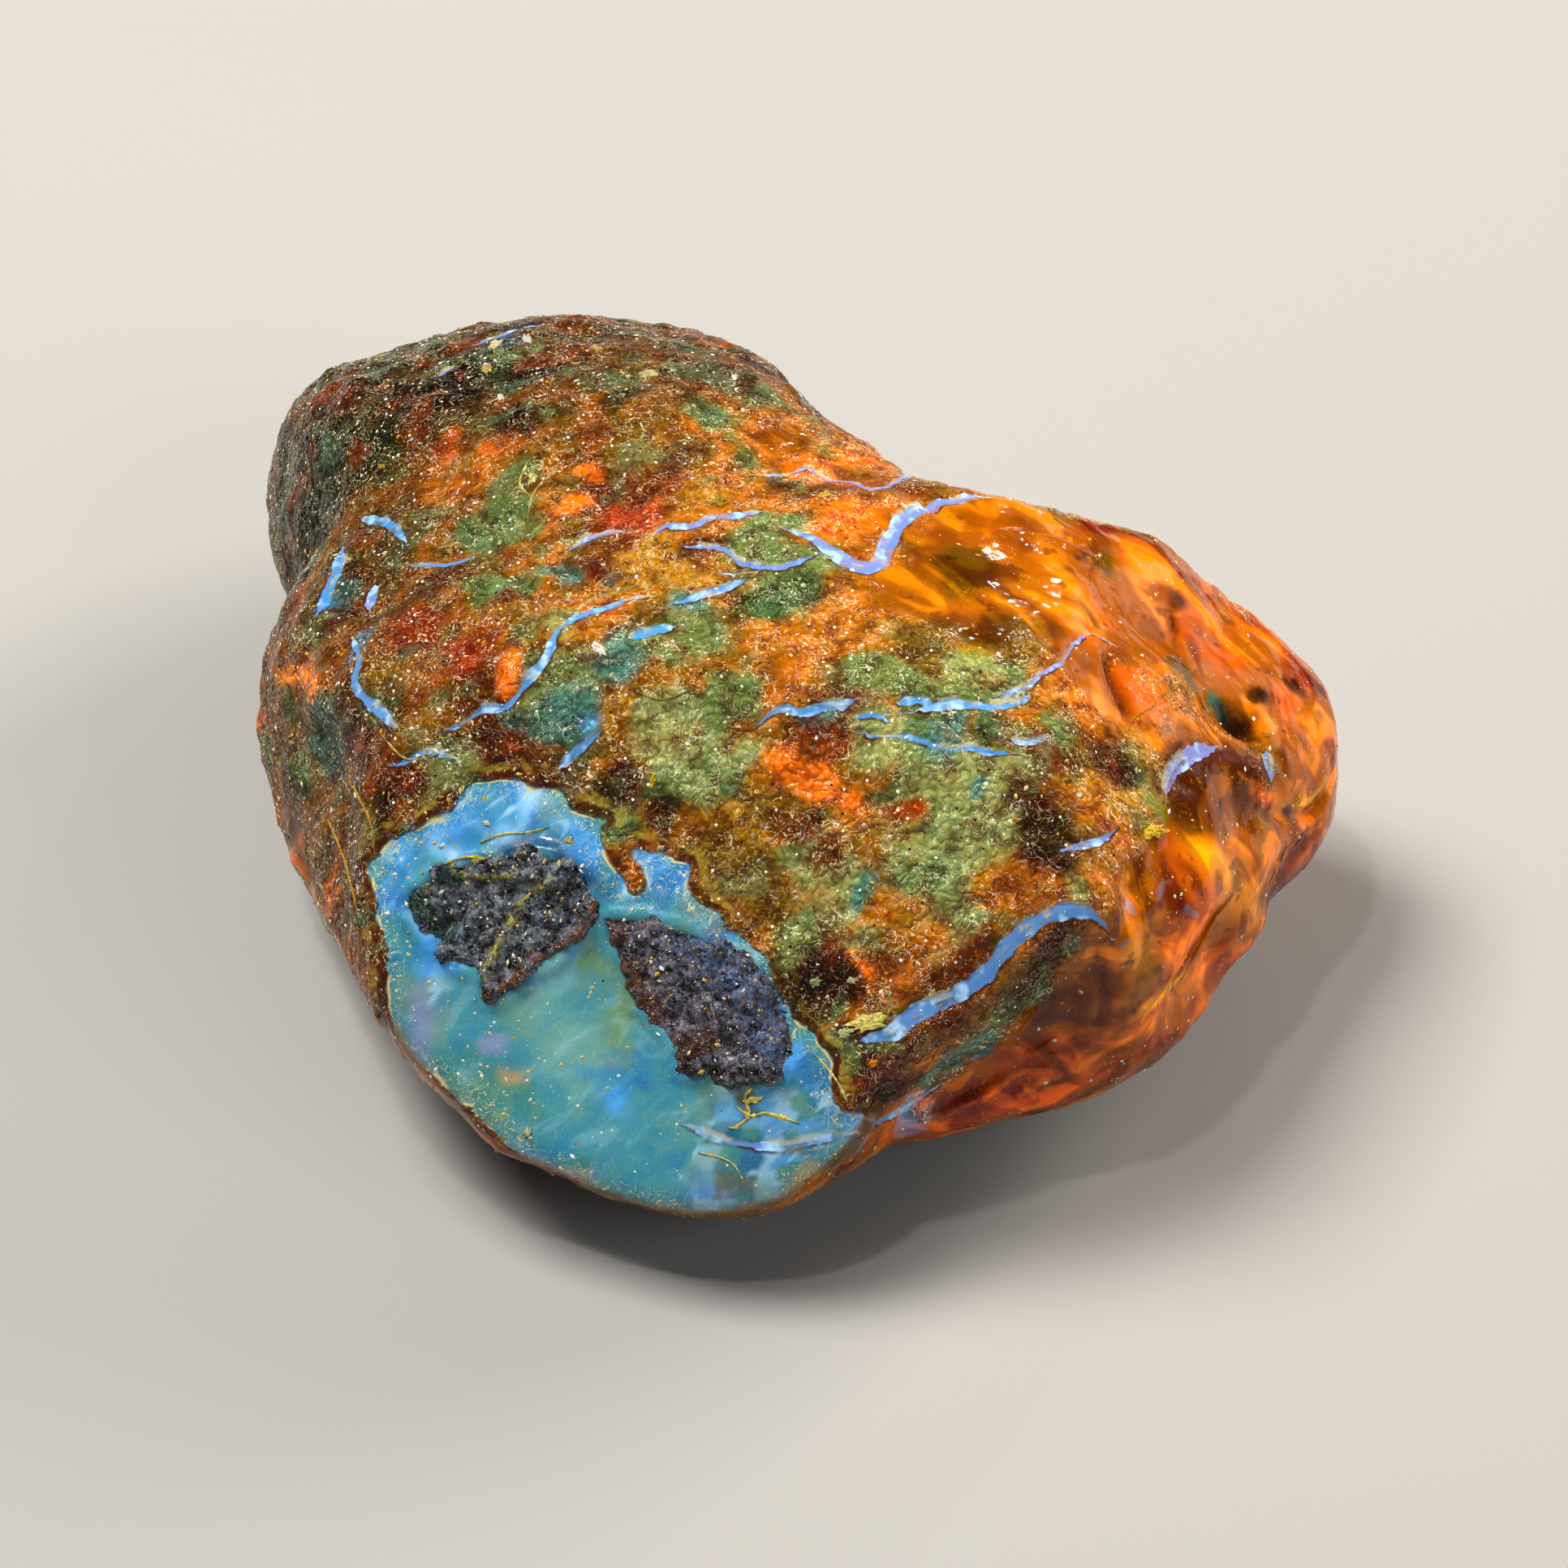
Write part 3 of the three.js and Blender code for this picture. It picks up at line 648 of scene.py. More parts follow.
def outline_distance(surface, pixels):
    """Each point's distance inside an outline, in the window's plane, and its depth under the plane."""
    right, up, normal = window_plane()
    plan = np.stack([(surface.points - WINDOW_POINT) @ right, (surface.points - WINDOW_POINT) @ up], -1)
    corners = surface.cast_all(pixels) - WINDOW_POINT
    corners = np.stack([corners @ right, corners @ up], -1)
    inside = np.zeros(len(plan), bool)
    least = np.full(len(plan), np.inf)
    for a, b in zip(corners, np.roll(corners, -1, axis=0)):
        step = b - a
        share = np.clip(((plan - a) @ step) / (step @ step), 0, 1)
        least = np.minimum(least, np.linalg.norm(plan - a - share[:, None] * step, axis=1))
        crosses = (a[1] > plan[:, 1]) != (b[1] > plan[:, 1])
        reach = a[0] + (plan[:, 1] - a[1]) * step[0] / (step[1] if step[1] else 1e-9)
        inside ^= crosses & (plan[:, 0] < reach)
    depth = (WINDOW_POINT - surface.points) @ normal
    return np.where(inside, least, -least), depth


def blend(shades, tint, cover):
    """The shades with a tint laid over them, by a cover of 0 to 1 at each point."""
    return shades + (tint - shades) * cover[:, None]


def patch_weights(surface, patches, points=None):
    """How strongly round patches, given by pixels, cover each point: one row for each patch."""
    points = surface.points if points is None else points
    rows = []
    for u, v, radius, *_ in patches:
        gap = np.linalg.norm(points - surface.cast(u, v), axis=1) / (radius * PIXEL_MM)
        rows.append(np.exp(-(gap**2)))
    return np.array(rows)


def paint(surface, points, palette, patches, ground, edge=(0.12, 0.62)):
    """Paints the patches over the ground colours, the widest first, and returns a colour for each point."""
    shades = ground
    spots = [(place, name) for name, places in patches.items() for place in places]
    for place, name in sorted(spots, key=lambda spot: -spot[0][2]):
        spread = patch_weights(surface, [place], points)[0]
        shades = blend(shades, colour(palette[name]), PAINT_COVER * ease(spread, *edge))
    return shades


def warped(points, width, amount, seed):
    """The points moved about by noise, so that what is measured from them has an uneven edge."""
    moves = [noise_at(points, width, "plain", seed + 7.3 * axis) for axis in range(3)]
    return points + amount * np.stack(moves, -1)


def put_attribute(mesh, name, values):
    """Stores a number, or a colour, for each vertex."""
    kind = "FLOAT_COLOR" if values.ndim == 2 else "FLOAT"
    attribute = mesh.attributes.new(name, kind, "POINT")
    if kind == "FLOAT":
        attribute.data.foreach_set("value", values.astype(np.float32))
        return
    opaque = np.concatenate([values, np.ones((len(values), 1))], 1)
    attribute.data.foreach_set("color", opaque.astype(np.float32).ravel())


def remeshed(nodes, voxel, rounds):
    """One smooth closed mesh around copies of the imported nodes."""
    work = bmesh.new()
    for node in nodes:
        work.from_mesh(node.data)
    bmesh.ops.remove_doubles(work, verts=work.verts, dist=1e-6)
    mesh = bpy.data.meshes.new("work")
    work.to_mesh(mesh)
    work.free()
    shape = bpy.data.objects.new("work", mesh)
    bpy.context.collection.objects.link(shape)
    remesh = shape.modifiers.new("voxels", "REMESH")
    remesh.mode = "VOXEL"
    remesh.voxel_size = voxel
    smooth = shape.modifiers.new("smooth", "SMOOTH")
    smooth.factor = 0.5
    smooth.iterations = rounds
    made = bpy.data.meshes.new_from_object(shape.evaluated_get(bpy.context.evaluated_depsgraph_get()))
    bpy.data.objects.remove(shape)
    bpy.data.meshes.remove(mesh)
    return made


def placed(name, mesh, slot):
    """A visible piece made from a mesh, smooth shaded unless it is a fleck, and fixed to the part's one
    body.
    """
    for face in mesh.polygons:
        face.use_smooth = slot != "fleck"
    mesh.update()
    piece = bpy.data.objects.new(name, mesh)
    bpy.context.collection.objects.link(piece)
    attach(piece, "root")
    return piece


def veins_on(surface):
    """Signed distance, half width and lavender share of the veins, in two sets whose veins keep apart."""
    count = len(surface.points)
    sets = [(np.full(count, 9.0), np.full(count, -0.5)) for _ in range(2)]
    lavender = np.zeros(count)
    nearest = np.full(count, np.inf)
    for number, (width, hue, pixels) in enumerate(VEINS):
        numbers, distance, side, share = measure_route(surface, pixels, 4.0)
        taper = np.clip(5 * np.minimum(share, 1 - share), 0, 1) ** 0.6
        wave = 1 + 0.35 * noise_at(surface.points[numbers], 1.6, "plain", 3.1 * number)
        half = width * PIXEL_MM / 2 * taper * wave
        half = np.where(distance < half + 1.2, half, -0.5)
        sides, halves = sets[number % 2]
        closer = distance - half < np.abs(sides[numbers]) - halves[numbers]
        chosen = numbers[closer]
        sides[chosen] = (distance * np.where(side == 0, 1, side))[closer]
        halves[chosen] = half[closer]
        first = distance < nearest[numbers]
        nearest[numbers[first]] = distance[first]
        lavender[numbers[first]] = hue
    return sets, lavender


def flow_bands(surface):
    """The rim's long ridges: a height of -1 to 1 at each point, and how strongly it is drawn out."""
    points = surface.points
    bands = np.zeros(len(points))
    cover = np.zeros(len(points))
    for direction, patches in FLOW_AREAS:
        direction = unit(np.array(direction))
        drawn = points - 0.84 * (points @ direction)[:, None] * direction
        here = np.clip(patch_weights(surface, patches).sum(0), 0, 1)
        bands = np.where(here > cover, 1 - 3.4 * np.abs(noise_at(drawn, 1.9, "plain", 6.0)), bands)
        cover = np.maximum(cover, here)
    return np.clip(bands, -1, 1), cover


def amber_relief(surface, window, clear, flakes, bare, bands):
    """The height of the fine surface over the smoothed one, in millimetres."""
    points = surface.points
    smooth = np.maximum(window, clear)
    height = (1 - smooth) * layered(points, CRUST_LAYERS)
    height += clear * layered(points, CLEAR_LAYERS)
    height += smooth * layered(points, SMOOTH_LAYERS)
    height *= 1 - 0.8 * bare
    height += bands * (1 - window) * 0.22
    for u, v, radius, lift in DIMPLES:
        height += lift * patch_weights(surface, [(u, v, radius)])[0]
    for width, lift, pixels in CREASES:
        numbers, distance, _, share = measure_route(surface, pixels, 3.0)
        taper = np.clip(5 * np.minimum(share, 1 - share), 0, 1)
        height[numbers] += lift * taper * np.exp(-((distance / (width * PIXEL_MM)) ** 2))
    return height - 0.12 * bare - 1.3 * flakes


def window_inside(surface):
    """How far inside the polished window each point lies, with a ragged edge and without the burrow."""
    inside, depth = outline_distance(surface, WINDOW_OUTLINE)
    inside = np.minimum(inside, WINDOW_WRAP - depth) + layered(surface.points, EDGE_LAYERS)
    width, pixels = BURROW
    numbers, distance, _, _ = measure_route(surface, pixels, 3.0)
    inside[numbers] = np.minimum(inside[numbers], distance - width * PIXEL_MM / 2)
    return inside


def flakes_inside(surface):
    """How far inside the outline of a flake each point lies."""
    left, depth = outline_distance(surface, FLAKE_LEFT_OUTLINE)
    right, _ = outline_distance(surface, FLAKE_RIGHT_OUTLINE)
    return np.where(depth < FLAKE_REACH, np.maximum(left, right), FAR_OFF)


def clear_share(surface):
    """How clear the amber is at each point: in the listed places, round the girdle and at the tip."""
    x, _, z = surface.points.T
    down = -surface.normals[:, 2]
    wide = [(u, v, radius * CLEAR_WIDER, strength) for u, v, radius, strength in CLEAR_PATCHES]
    rows = patch_weights(surface, wide, warped(surface.points, 5.0, 1.6, 21.0))
    strengths = np.array([patch[3] for patch in CLEAR_PATCHES])[:, None]
    clear = np.clip((rows * strengths).sum(0) * 1.1, 0, 1)
    girdle = np.exp(-(((z - GIRDLE_HEIGHT) / GIRDLE_SPREAD) ** 2)) * ease(down, -0.45, 0.1)
    patchy = np.clip(girdle * 0.75 + 0.25 * noise_at(surface.points, 7.0, seed=31.0), 0, 1)
    clear = np.maximum(clear, patchy * girdle)
    clear = np.maximum(clear, ease(x, 24, 36) * ease(x * 0.4 - z * 0.3, 5, 11))
    return np.maximum(clear, 0.8 * ease(down, 0.2, 0.7) * ease(x, 8, 26))


def crust_tones(surface, loose, clear, bands, drawn_out):
    """The colour of the crust and the clear amber at each point, before the fine patterns."""
    x, y, z = surface.points.T
    patchy = noise_at(surface.points, 8.0, seed=41.0)
    tone = np.array(colour(PALETTE["russet"])) + np.zeros((len(x), 3))
    for number, name in enumerate(("olive", "ochre", "fern")):
        start = 0.35 * number - 0.6
        tone = blend(tone, colour(PALETTE[name]), ease(patchy, start, start + 0.35))
    amber = np.array(colour(PALETTE["honey"])) * 0.7 + np.array(colour(PALETTE["rust"])) * 0.3
    tone = paint(surface, loose, PALETTE, PATCHES, blend(tone, amber, clear))
    # Painted shade: the left end is darker, where less light falls and the amber is thicker. The back of
    # the top on the left is darker too.
    tone *= 1 - 0.5 * ease(-x, 10, 30)[:, None]
    tone *= 1 - 0.7 * (ease(y, 0, 18) * ease(-x, -10, 6))[:, None]
    # The rim's ridges: painted light on their tops and painted shade in the grooves, over their own orange
    # and dark red banding.
    for tint, reach in ((RIDGE_BAND_AND_LIGHT_TINT, ease(bands, 0.45, 0.95)), (GROOVE_BAND_AND_SHADE_TINT, ease(-bands, -0.25, 0.5))):
        tone = blend(tone, colour(tint), 0.75 * drawn_out * reach)
    # Clear amber low on the right turns deep red: partly its own colour, partly painted glow of light
    # through the low rim.
    tone = blend(tone, colour(LOW_RED_AND_GLOW_TINT), 0.55 * clear * ease(14 - z, 0, 8) * ease(x, 0, 14))
    for width, tint, pixels in STREAKS:
        numbers, distance, _, share = measure_route(surface, pixels, 5.0)
        fade = 0.95 * np.clip(4 * np.minimum(share, 1 - share), 0, 1)
        cover = fade * np.exp(-((distance / (width * PIXEL_MM / 2)) ** 2))
        tone[numbers] = blend(tone[numbers], colour(tint), cover)
    return tone


def window_tones(surface, loose):
    """The colour of the window at each point, cloudy above and broken into shards low on the right."""
    lagoon = np.array(colour(WINDOW_PALETTE["lagoon"])) + np.zeros((len(loose), 3))
    cloudy = warped(loose, 6.0, 3.0, 17.0)
    tone = paint(surface, cloudy, WINDOW_PALETTE, WINDOW_PATCHES, lagoon, WINDOW_EDGE)
    broken = np.clip(patch_weights(surface, SHARD_PATCHES, loose).sum(0), 0, 1)
    places = warped(surface.points, 3.0, 1.2, 61.0) / SHARD_WIDTH
    shard = np.array([noise.cell(place) for place in places]) % 1.0
    tints = np.array([colour(tint) for tint in SHARD_TINTS])
    return blend(tone, tints[(shard * len(tints)).astype(int)], 0.6 * ease(broken, 0.3, 0.7))


def build_amber(frame):
    """The amber nodule's fine mesh, with every marking stored on its vertices."""
    mesh = remeshed(list(frame["nodes"].values()), AMBER_VOXEL, SMOOTHING_ROUNDS)
    surface = Surface(mesh)
    points = surface.points
    loose = warped(warped(points, 4.0, 1.6, 1.0), 1.4, 0.6, 3.0)
    window = window_inside(surface)
    flake = flakes_inside(surface)
    ((side_a, half_a), (side_b, half_b)), lavender = veins_on(surface)
    bare = np.maximum(ease(half_a - np.abs(side_a), -0.25, 0.1), ease(half_b - np.abs(side_b), -0.25, 0.1))
    clear = clear_share(surface)
    bands, drawn_out = flow_bands(surface)
    tone = crust_tones(surface, loose, clear, bands, drawn_out)
    # Nearly black: painted shade in the pits and cracks, and the crust's own dark patches.
    dark_and_pit_shade = patch_weights(surface, DARK_AND_PIT_SHADE_PATCHES, warped(points, 1.4, 0.6, 3.0))
    dark_and_pit_shade *= np.array([patch[3] for patch in DARK_AND_PIT_SHADE_PATCHES])[:, None]

    turned = ease(0.82 - surface.normals @ unit(WINDOW_NORMAL), 0, 0.35)
    rim = turned * ease((WINDOW_POINT - points) @ window_plane()[1], 3.0, 6.0)
    clear = np.maximum(clear, rim * ease(window, -9, -4))
    marks = {
        "tone": tone,
        "window_tone": window_tones(surface, loose),
        "window_mm": window,
        "rim": rim,
        "clear": clear,
        "gloss": ease(patch_weights(surface, WINDOW_PATCHES["sky"]).sum(0), 0.15, 0.8),
        "dark_and_pit_shade": dark_and_pit_shade.max(0),
        "side_a": side_a,
        "half_a": half_a,
        "side_b": side_b,
        "half_b": half_b,
        "lavender": lavender,
        "bare": bare,
    }
    hollow = ease(flake, 0.1, 0.9)
    height = amber_relief(surface, ease(window, -0.3, 0.3), clear, hollow, bare, bands * drawn_out)
    height += CRUST_STEP * ease(-window, -0.25, 0.45) * (1 - clear)
    height += FLAKE_LIP * np.exp(-(((flake + 0.45) / 0.4) ** 2))
    moved = points + surface.normals * height[:, None]
    moved[:, 2] = np.maximum(moved[:, 2], 0)
    mesh.vertices.foreach_set("co", (moved * MM).ravel())
    for name, values in marks.items():
        put_attribute(mesh, name, values)
    mesh.materials.append(amber_material())
    piece = placed("amber_surface", mesh, "amber")
    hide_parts("amber_nodule")
    return piece


class Graph:
    """A material's nodes, made and joined by short calls. Sizes are in millimetres of the object."""

    def __init__(self, name):
        self.material = bpy.data.materials.new(name)
        self.material.use_nodes = True
        self.tree = self.material.node_tree
        self.shader = self.tree.nodes["Principled BSDF"]
        self.output = self.tree.nodes["Material Output"]
        self.place = self.tree.nodes.new("ShaderNodeTexCoord").outputs["Object"]

    def put(self, socket, value):
        if isinstance(value, bpy.types.NodeSocket):
            self.tree.links.new(value, socket)
        elif isinstance(value, str):
            socket.default_value = (*colour(value), 1)
        else:
            socket.default_value = value

    def set(self, **values):
        """Sets or joins the shader's own inputs."""
        for name, value in values.items():
            self.put(self.shader.inputs[name.replace("_", " ")], value)

    def math(self, operation, *numbers):
        node = self.tree.nodes.new("ShaderNodeMath")
        node.operation = operation
        for socket, number in zip(node.inputs, numbers):
            self.put(socket, number)
        return node.outputs[0]

    def times(self, a, b):
        return self.math("MULTIPLY", a, b)

    def most(self, first, *others):
        """The largest of several numbers."""
        for other in others:
            first = self.math("MAXIMUM", first, other)
        return first

    def mix(self, share, a, b, how="MIX"):
        node = self.tree.nodes.new("ShaderNodeMix")
        node.data_type = "RGBA"
        node.blend_type = how
        self.put(node.inputs[0], share)
        self.put(node.inputs[6], a)
        self.put(node.inputs[7], b)
        return node.outputs[2]

    def deeper(self, shade, saturation, value):
        node = self.tree.nodes.new("ShaderNodeHueSaturation")
        node.inputs["Saturation"].default_value = saturation
        node.inputs["Value"].default_value = value
        self.put(node.inputs["Color"], shade)
        return node.outputs[0]

    def between(self, share, a, b):
        """A number between a and b."""
        node = self.tree.nodes.new("ShaderNodeMix")
        self.put(node.inputs[0], share)
        self.put(node.inputs[2], a)
        self.put(node.inputs[3], b)
        return node.outputs[0]

    def step(self, value, low, high, to_low=0.0, to_high=1.0):
        """A smooth step of the value, from to_low up to low, to to_high from high."""
        node = self.tree.nodes.new("ShaderNodeMapRange")
        node.interpolation_type = "SMOOTHSTEP"
        for socket, given in zip(node.inputs, (value, low, high, to_low, to_high)):
            self.put(socket, given)
        return node.outputs[0]

    def stored(self, name, kind="Fac"):
        node = self.tree.nodes.new("ShaderNodeAttribute")
        node.attribute_name = name
        return node.outputs[kind]

    def drawn(self, direction, share):
        """Places in which the pattern is drawn out along a direction."""
        sizes = self.tree.nodes.new("ShaderNodeMapping")
        sizes.vector_type = "TEXTURE"
        sizes.inputs["Rotation"].default_value = Vector(direction).to_track_quat("X", "Z").to_euler()
        sizes.inputs["Scale"].default_value = (share, 1, 1)
        self.put(sizes.inputs["Vector"], self.place)
        return sizes.outputs[0]

    def noise(self, width, detail=3.0, rough=0.5, bend=0.0, place=None):
        node = self.tree.nodes.new("ShaderNodeTexNoise")
        self.put(node.inputs["Vector"], place or self.place)
        node.inputs["Scale"].default_value = 1 / (width * MM)
        node.inputs["Detail"].default_value = detail
        node.inputs["Roughness"].default_value = rough
        node.inputs["Distortion"].default_value = bend
        return node.outputs[0]

    def cells(self, width, feature="F1", place=None):
        node = self.tree.nodes.new("ShaderNodeTexVoronoi")
        node.feature = feature
        self.put(node.inputs["Vector"], place or self.place)
        node.inputs["Scale"].default_value = 1 / (width * MM)
        return node.outputs

    def line(self, value, middle, half):
        """1 where the value passes its middle, and 0 from half away on each side."""
        gap = self.math("ABSOLUTE", self.math("SUBTRACT", value, middle))
        return self.step(gap, half * 0.4, half, 1.0, 0.0)

    def bump(self, height, depth):
        """A shader normal from a height of 0 to 1 that stands for a depth in millimetres."""
        node = self.tree.nodes.new("ShaderNodeBump")
        node.inputs["Distance"].default_value = depth * MM
        self.put(node.inputs["Height"], height)
        return node.outputs[0]


def shared_textures(g):
    """The patterns that all kinds of the surface are coloured from, each worked out once."""
    return {
        "ragged": g.noise(2.2, 3, 0.65),
        "blotch": g.noise(1.5, 2, 0.6),
        "broad": g.noise(4.2, 2, 0.6),
        "lace": g.noise(0.85, 1, 0.5, 2.0),
        "pebbles": g.math("ABSOLUTE", g.math("SUBTRACT", g.noise(0.85, 1, 0.4), 0.5)),
        "grains": g.cells(0.7),
    }


def dotted(g, shade, t, sizes, bare, pale, tints):
    """Fine grains over a shade. Up to bare of the cells have none, and up to pale of them a pale one."""
    chance = t["grains"]["Color"]
    grain = g.times(g.step(t["grains"]["Distance"], *sizes, 1, 0), g.step(chance, bare, bare + 0.03))
    return g.mix(grain, shade, g.mix(g.step(chance, pale, pale + 0.03), *tints))


def crust_colour(g, tone, t):
    """The weathered crust: glassy blotches of brown and green under a lace of fine cream threads."""
    shade = g.mix(g.step(t["broad"], 0.55, 0.66, 0, 0.25), tone, "#5c845c")
    shade = g.mix(g.step(t["broad"], 0.45, 0.35, 0, 0.3), shade, "#8e380a")
    browner = g.mix(1.0, shade, "#9a5a34", "MULTIPLY")
    shade = g.mix(g.step(t["blotch"], 0.5, 0.6, 0, 0.6), shade, browner)
    shade = g.mix(g.step(t["blotch"], 0.45, 0.35, 0, 0.6), shade, g.deeper(shade, 0.85, 1.5))
    # Painted shade and light: darker in the creases between the pebbly bumps of the relief, a little
    # lighter on their tops.
    shade = g.mix(1.0, shade, g.step(t["pebbles"], 0.0, 0.08, 0.76, 1.06), "MULTIPLY")
    lace = g.times(g.line(t["lace"], 0.5, 0.028), g.step(t["ragged"], 0.4, 0.6, 0.85, 0.15))
    shade = g.mix(lace, shade, g.mix(0.55, g.deeper(shade, 0.7, 2.2), "#e6dfc0"))
    # Fine white and dark dots; the white ones are partly painted glints on the wet crust.
    shade = dotted(g, shade, t, (0.1, 0.2), 0.56, 0.7, ("#f2ecd2", "#2c1004"))
    return g.deeper(shade, 1.1, 1.12)


def window_colour(g, t, inside):
    """The polished window: milky blue amber with soft flow bands, cream threads and fine specks."""
    bands = g.noise(2.4, 3, 0.6, 0.8, g.drawn((0.8, 0.55, 0.3), 3.0))
    bright = g.stored("gloss")
    shade = g.stored("window_tone", "Color")
    shade = g.mix(g.times(g.step(bands, 0.52, 0.66), g.between(bright, 0.2, 0.65)), shade, "#2468a8")
    shade = g.mix(g.times(g.step(bands, 0.48, 0.36), g.between(bright, 0.15, 0.7)), shade, "#b8e2f6")
    shade = g.mix(g.step(t["broad"], 0.54, 0.68, 0, 0.45), shade, "#7a9c80")
    shade = g.mix(g.step(t["broad"], 0.45, 0.32, 0, 0.55), shade, "#2a80b8")
    near_edge = g.step(inside, 0.4, 2.2, 1, 0)
    shade = g.mix(g.times(g.line(t["lace"], 0.5, 0.022), g.most(near_edge, 0.1)), shade, "#e0d89c")
    shade = dotted(g, shade, t, (0.08, 0.15), 0.8, 0.88, ("#f0d088", "#16302c"))
    rim = g.times(g.line(inside, 0.12, 0.2), g.step(t["ragged"], 0.46, 0.6))
    return g.mix(rim, shade, "#d8cf98")


def clear_colour(g, tone, t):
    """Clear amber in broad streaks of gold, orange and brown: partly what its cloudy flaws scatter back,
    partly painted glow of light coming through it.
    """
    flow = g.noise(4.8, 2, 0.5, 1.2, g.drawn((0.75, -0.6, -0.15), 1.8))
    # Painted glow: a brighter, more orange copy of the tone, as where light comes through the amber.
    bright = g.mix(0.25, g.deeper(tone, 1.15, 2.4), "#ff9808")
    dark = g.mix(0.5, g.deeper(tone, 1.1, 0.35), "#641802")
    shade = g.mix(g.step(flow, 0.52, 0.63, 0, 0.85), tone, bright)
    shade = g.mix(g.step(flow, 0.46, 0.34, 0, 0.8), shade, dark)
    shade = g.mix(g.step(t["broad"], 0.55, 0.68, 0, 0.4), shade, "#5e2406")
    threads = g.times(g.line(t["lace"], 0.5, 0.02), g.step(t["ragged"], 0.5, 0.64, 0, 0.45))
    shade = g.mix(threads, shade, "#ffc050")
    shade = g.mix(g.step(t["blotch"], 0.64, 0.7, 0, 0.5), shade, "#3a1002")
    return g.deeper(shade, 1.35, 1.1)


def bordered(g, shade, t, inside, clear):
    """The crust's edge beside the window: an olive halo and then a brown line, both uneven."""
    crusty = g.math("SUBTRACT", 1.0, clear)
    halo = g.times(g.line(inside, -0.95, 0.5), g.step(t["ragged"], 0.45, 0.6, 0, 0.6))
    shade = g.mix(g.times(halo, crusty), shade, "#a08c34")
    border = g.times(g.line(inside, -0.35, 0.42), g.step(t["ragged"], 0.42, 0.56, 0, 0.85))
    return g.mix(g.times(border, crusty), shade, "#4a1f08")


def veined(g, shade, t):
    """The veins over a shade, dark along one side and cream along the other, with their two covers."""
    vein = under = over = 0.0
    wobble = g.step(t["blotch"], 0.3, 0.7, -0.16, 0.1)
    for name in ("a", "b"):
        side = g.stored(f"side_{name}")
        within = g.math("SUBTRACT", g.stored(f"half_{name}"), g.math("ABSOLUTE", side))
        within = g.math("ADD", within, wobble)
        edge = g.step(within, -0.34, -0.06)
        vein = g.most(g.step(within, -0.06, 0.05), vein)
        under = g.most(g.times(edge, g.step(side, 0.05, -0.05)), under)
        over = g.most(g.times(edge, g.step(side, -0.05, 0.05)), over)
    shade = g.mix(g.times(under, g.step(t["ragged"], 0.4, 0.56, 0.2, 0.9)), shade, "#43200e")
    shade = g.mix(g.times(over, g.step(t["ragged"], 0.4, 0.56, 0.55, 0.0)), shade, "#cfc79a")
    blue = g.mix(g.stored("lavender"), "#4f90c4", "#8585be")
    blue = g.mix(g.step(t["blotch"], 0.5, 0.68), blue, "#a8cce8")
    broken = g.step(t["ragged"], 0.36, 0.5, 0.4, 0.92)
    return g.mix(g.times(vein, broken), shade, blue), vein, under


def absorbing(g, tint, density):
    """Fills the material's inside with plain absorption."""
    node = g.tree.nodes.new("ShaderNodeVolumeAbsorption")
    node.inputs["Color"].default_value = (*tint, 1)
    node.inputs["Density"].default_value = density
    g.put(g.output.inputs["Volume"], node.outputs[0])


def amber_material():
    g = Graph("amber")
    t = shared_textures(g)
    inside = g.stored("window_mm")
    window = g.step(inside, -0.1, 0.12)
    uneven = g.math("SUBTRACT", t["ragged"], 0.5)
    patchy = g.math("ADD", g.stored("clear"), g.times(uneven, 0.9))
    clear = g.times(g.step(patchy, 0.3, 0.66), g.math("SUBTRACT", 1.0, window))
    # Painted shade in the pits and cracks, with the crust's dark patches, given a ragged edge.
    ragged_dark_and_pit_shade = g.step(g.math("ADD", g.stored("dark_and_pit_shade"), g.times(uneven, 1.6)), 0.3, 0.85)
    dark_and_pit_shade = g.times(ragged_dark_and_pit_shade, g.step(g.stored("dark_and_pit_shade"), 0.05, 0.2))

    tone = g.stored("tone", "Color")
    shade = g.mix(clear, crust_colour(g, tone, t), clear_colour(g, tone, t))
    shade = bordered(g, shade, t, inside, clear)
    # Nearly black: painted shade in the pits and cracks, and the crust's own dark patches.
    shade = g.mix(g.times(dark_and_pit_shade, 0.85), shade, "#1e0a03")
    shade = g.mix(window, shade, window_colour(g, t, inside))
    # The window's lower rim in gold and brown amber: partly its own colour, partly painted glow of light
    # through the thin rim.
    brown = g.mix(g.step(t["ragged"], 0.42, 0.58), "#c8841c", "#8a5a14")
    shade = g.mix(g.times(g.times(g.stored("rim"), window), 0.85), shade, brown)
    shade, vein, under = veined(g, shade, t)

    glass = g.between(window, g.times(clear, CLEAR_SHARE), g.between(g.stored("rim"), 0.12, 0.6))
    glass = g.times(glass, g.math("SUBTRACT", 1.0, g.most(vein, under, dark_and_pit_shade)))
    wet = g.most(g.times(window, g.stored("gloss")), clear, vein)
    ripple = g.noise(1.4, 1, 0.5)
    lumps = g.math("ADD", g.times(t["pebbles"], 2.2), ripple)
    even = g.step(g.stored("clear"), 0.3, 0.66)
    flat = g.times(ripple, g.between(even, 0.25, 0.4))
    smooth = g.most(window, even, g.stored("bare"))
    g.set(
        Base_Color=shade,
        Transmission_Weight=glass,
        Roughness=g.between(wet, g.step(t["blotch"], 0.35, 0.65, 0.12, 0.32), 0.12),
        IOR=AMBER_IOR,
        Specular_IOR_Level=0.3,
        Coat_Weight=g.times(window, g.between(g.stored("gloss"), 0.1, 0.7)),
        Coat_Roughness=0.06,
        Coat_IOR=1.5,
        Normal=g.bump(g.between(smooth, lumps, flat), 0.3),
    )
    absorbing(g, AMBER_TINT, AMBER_DENSITY)
    return g.material


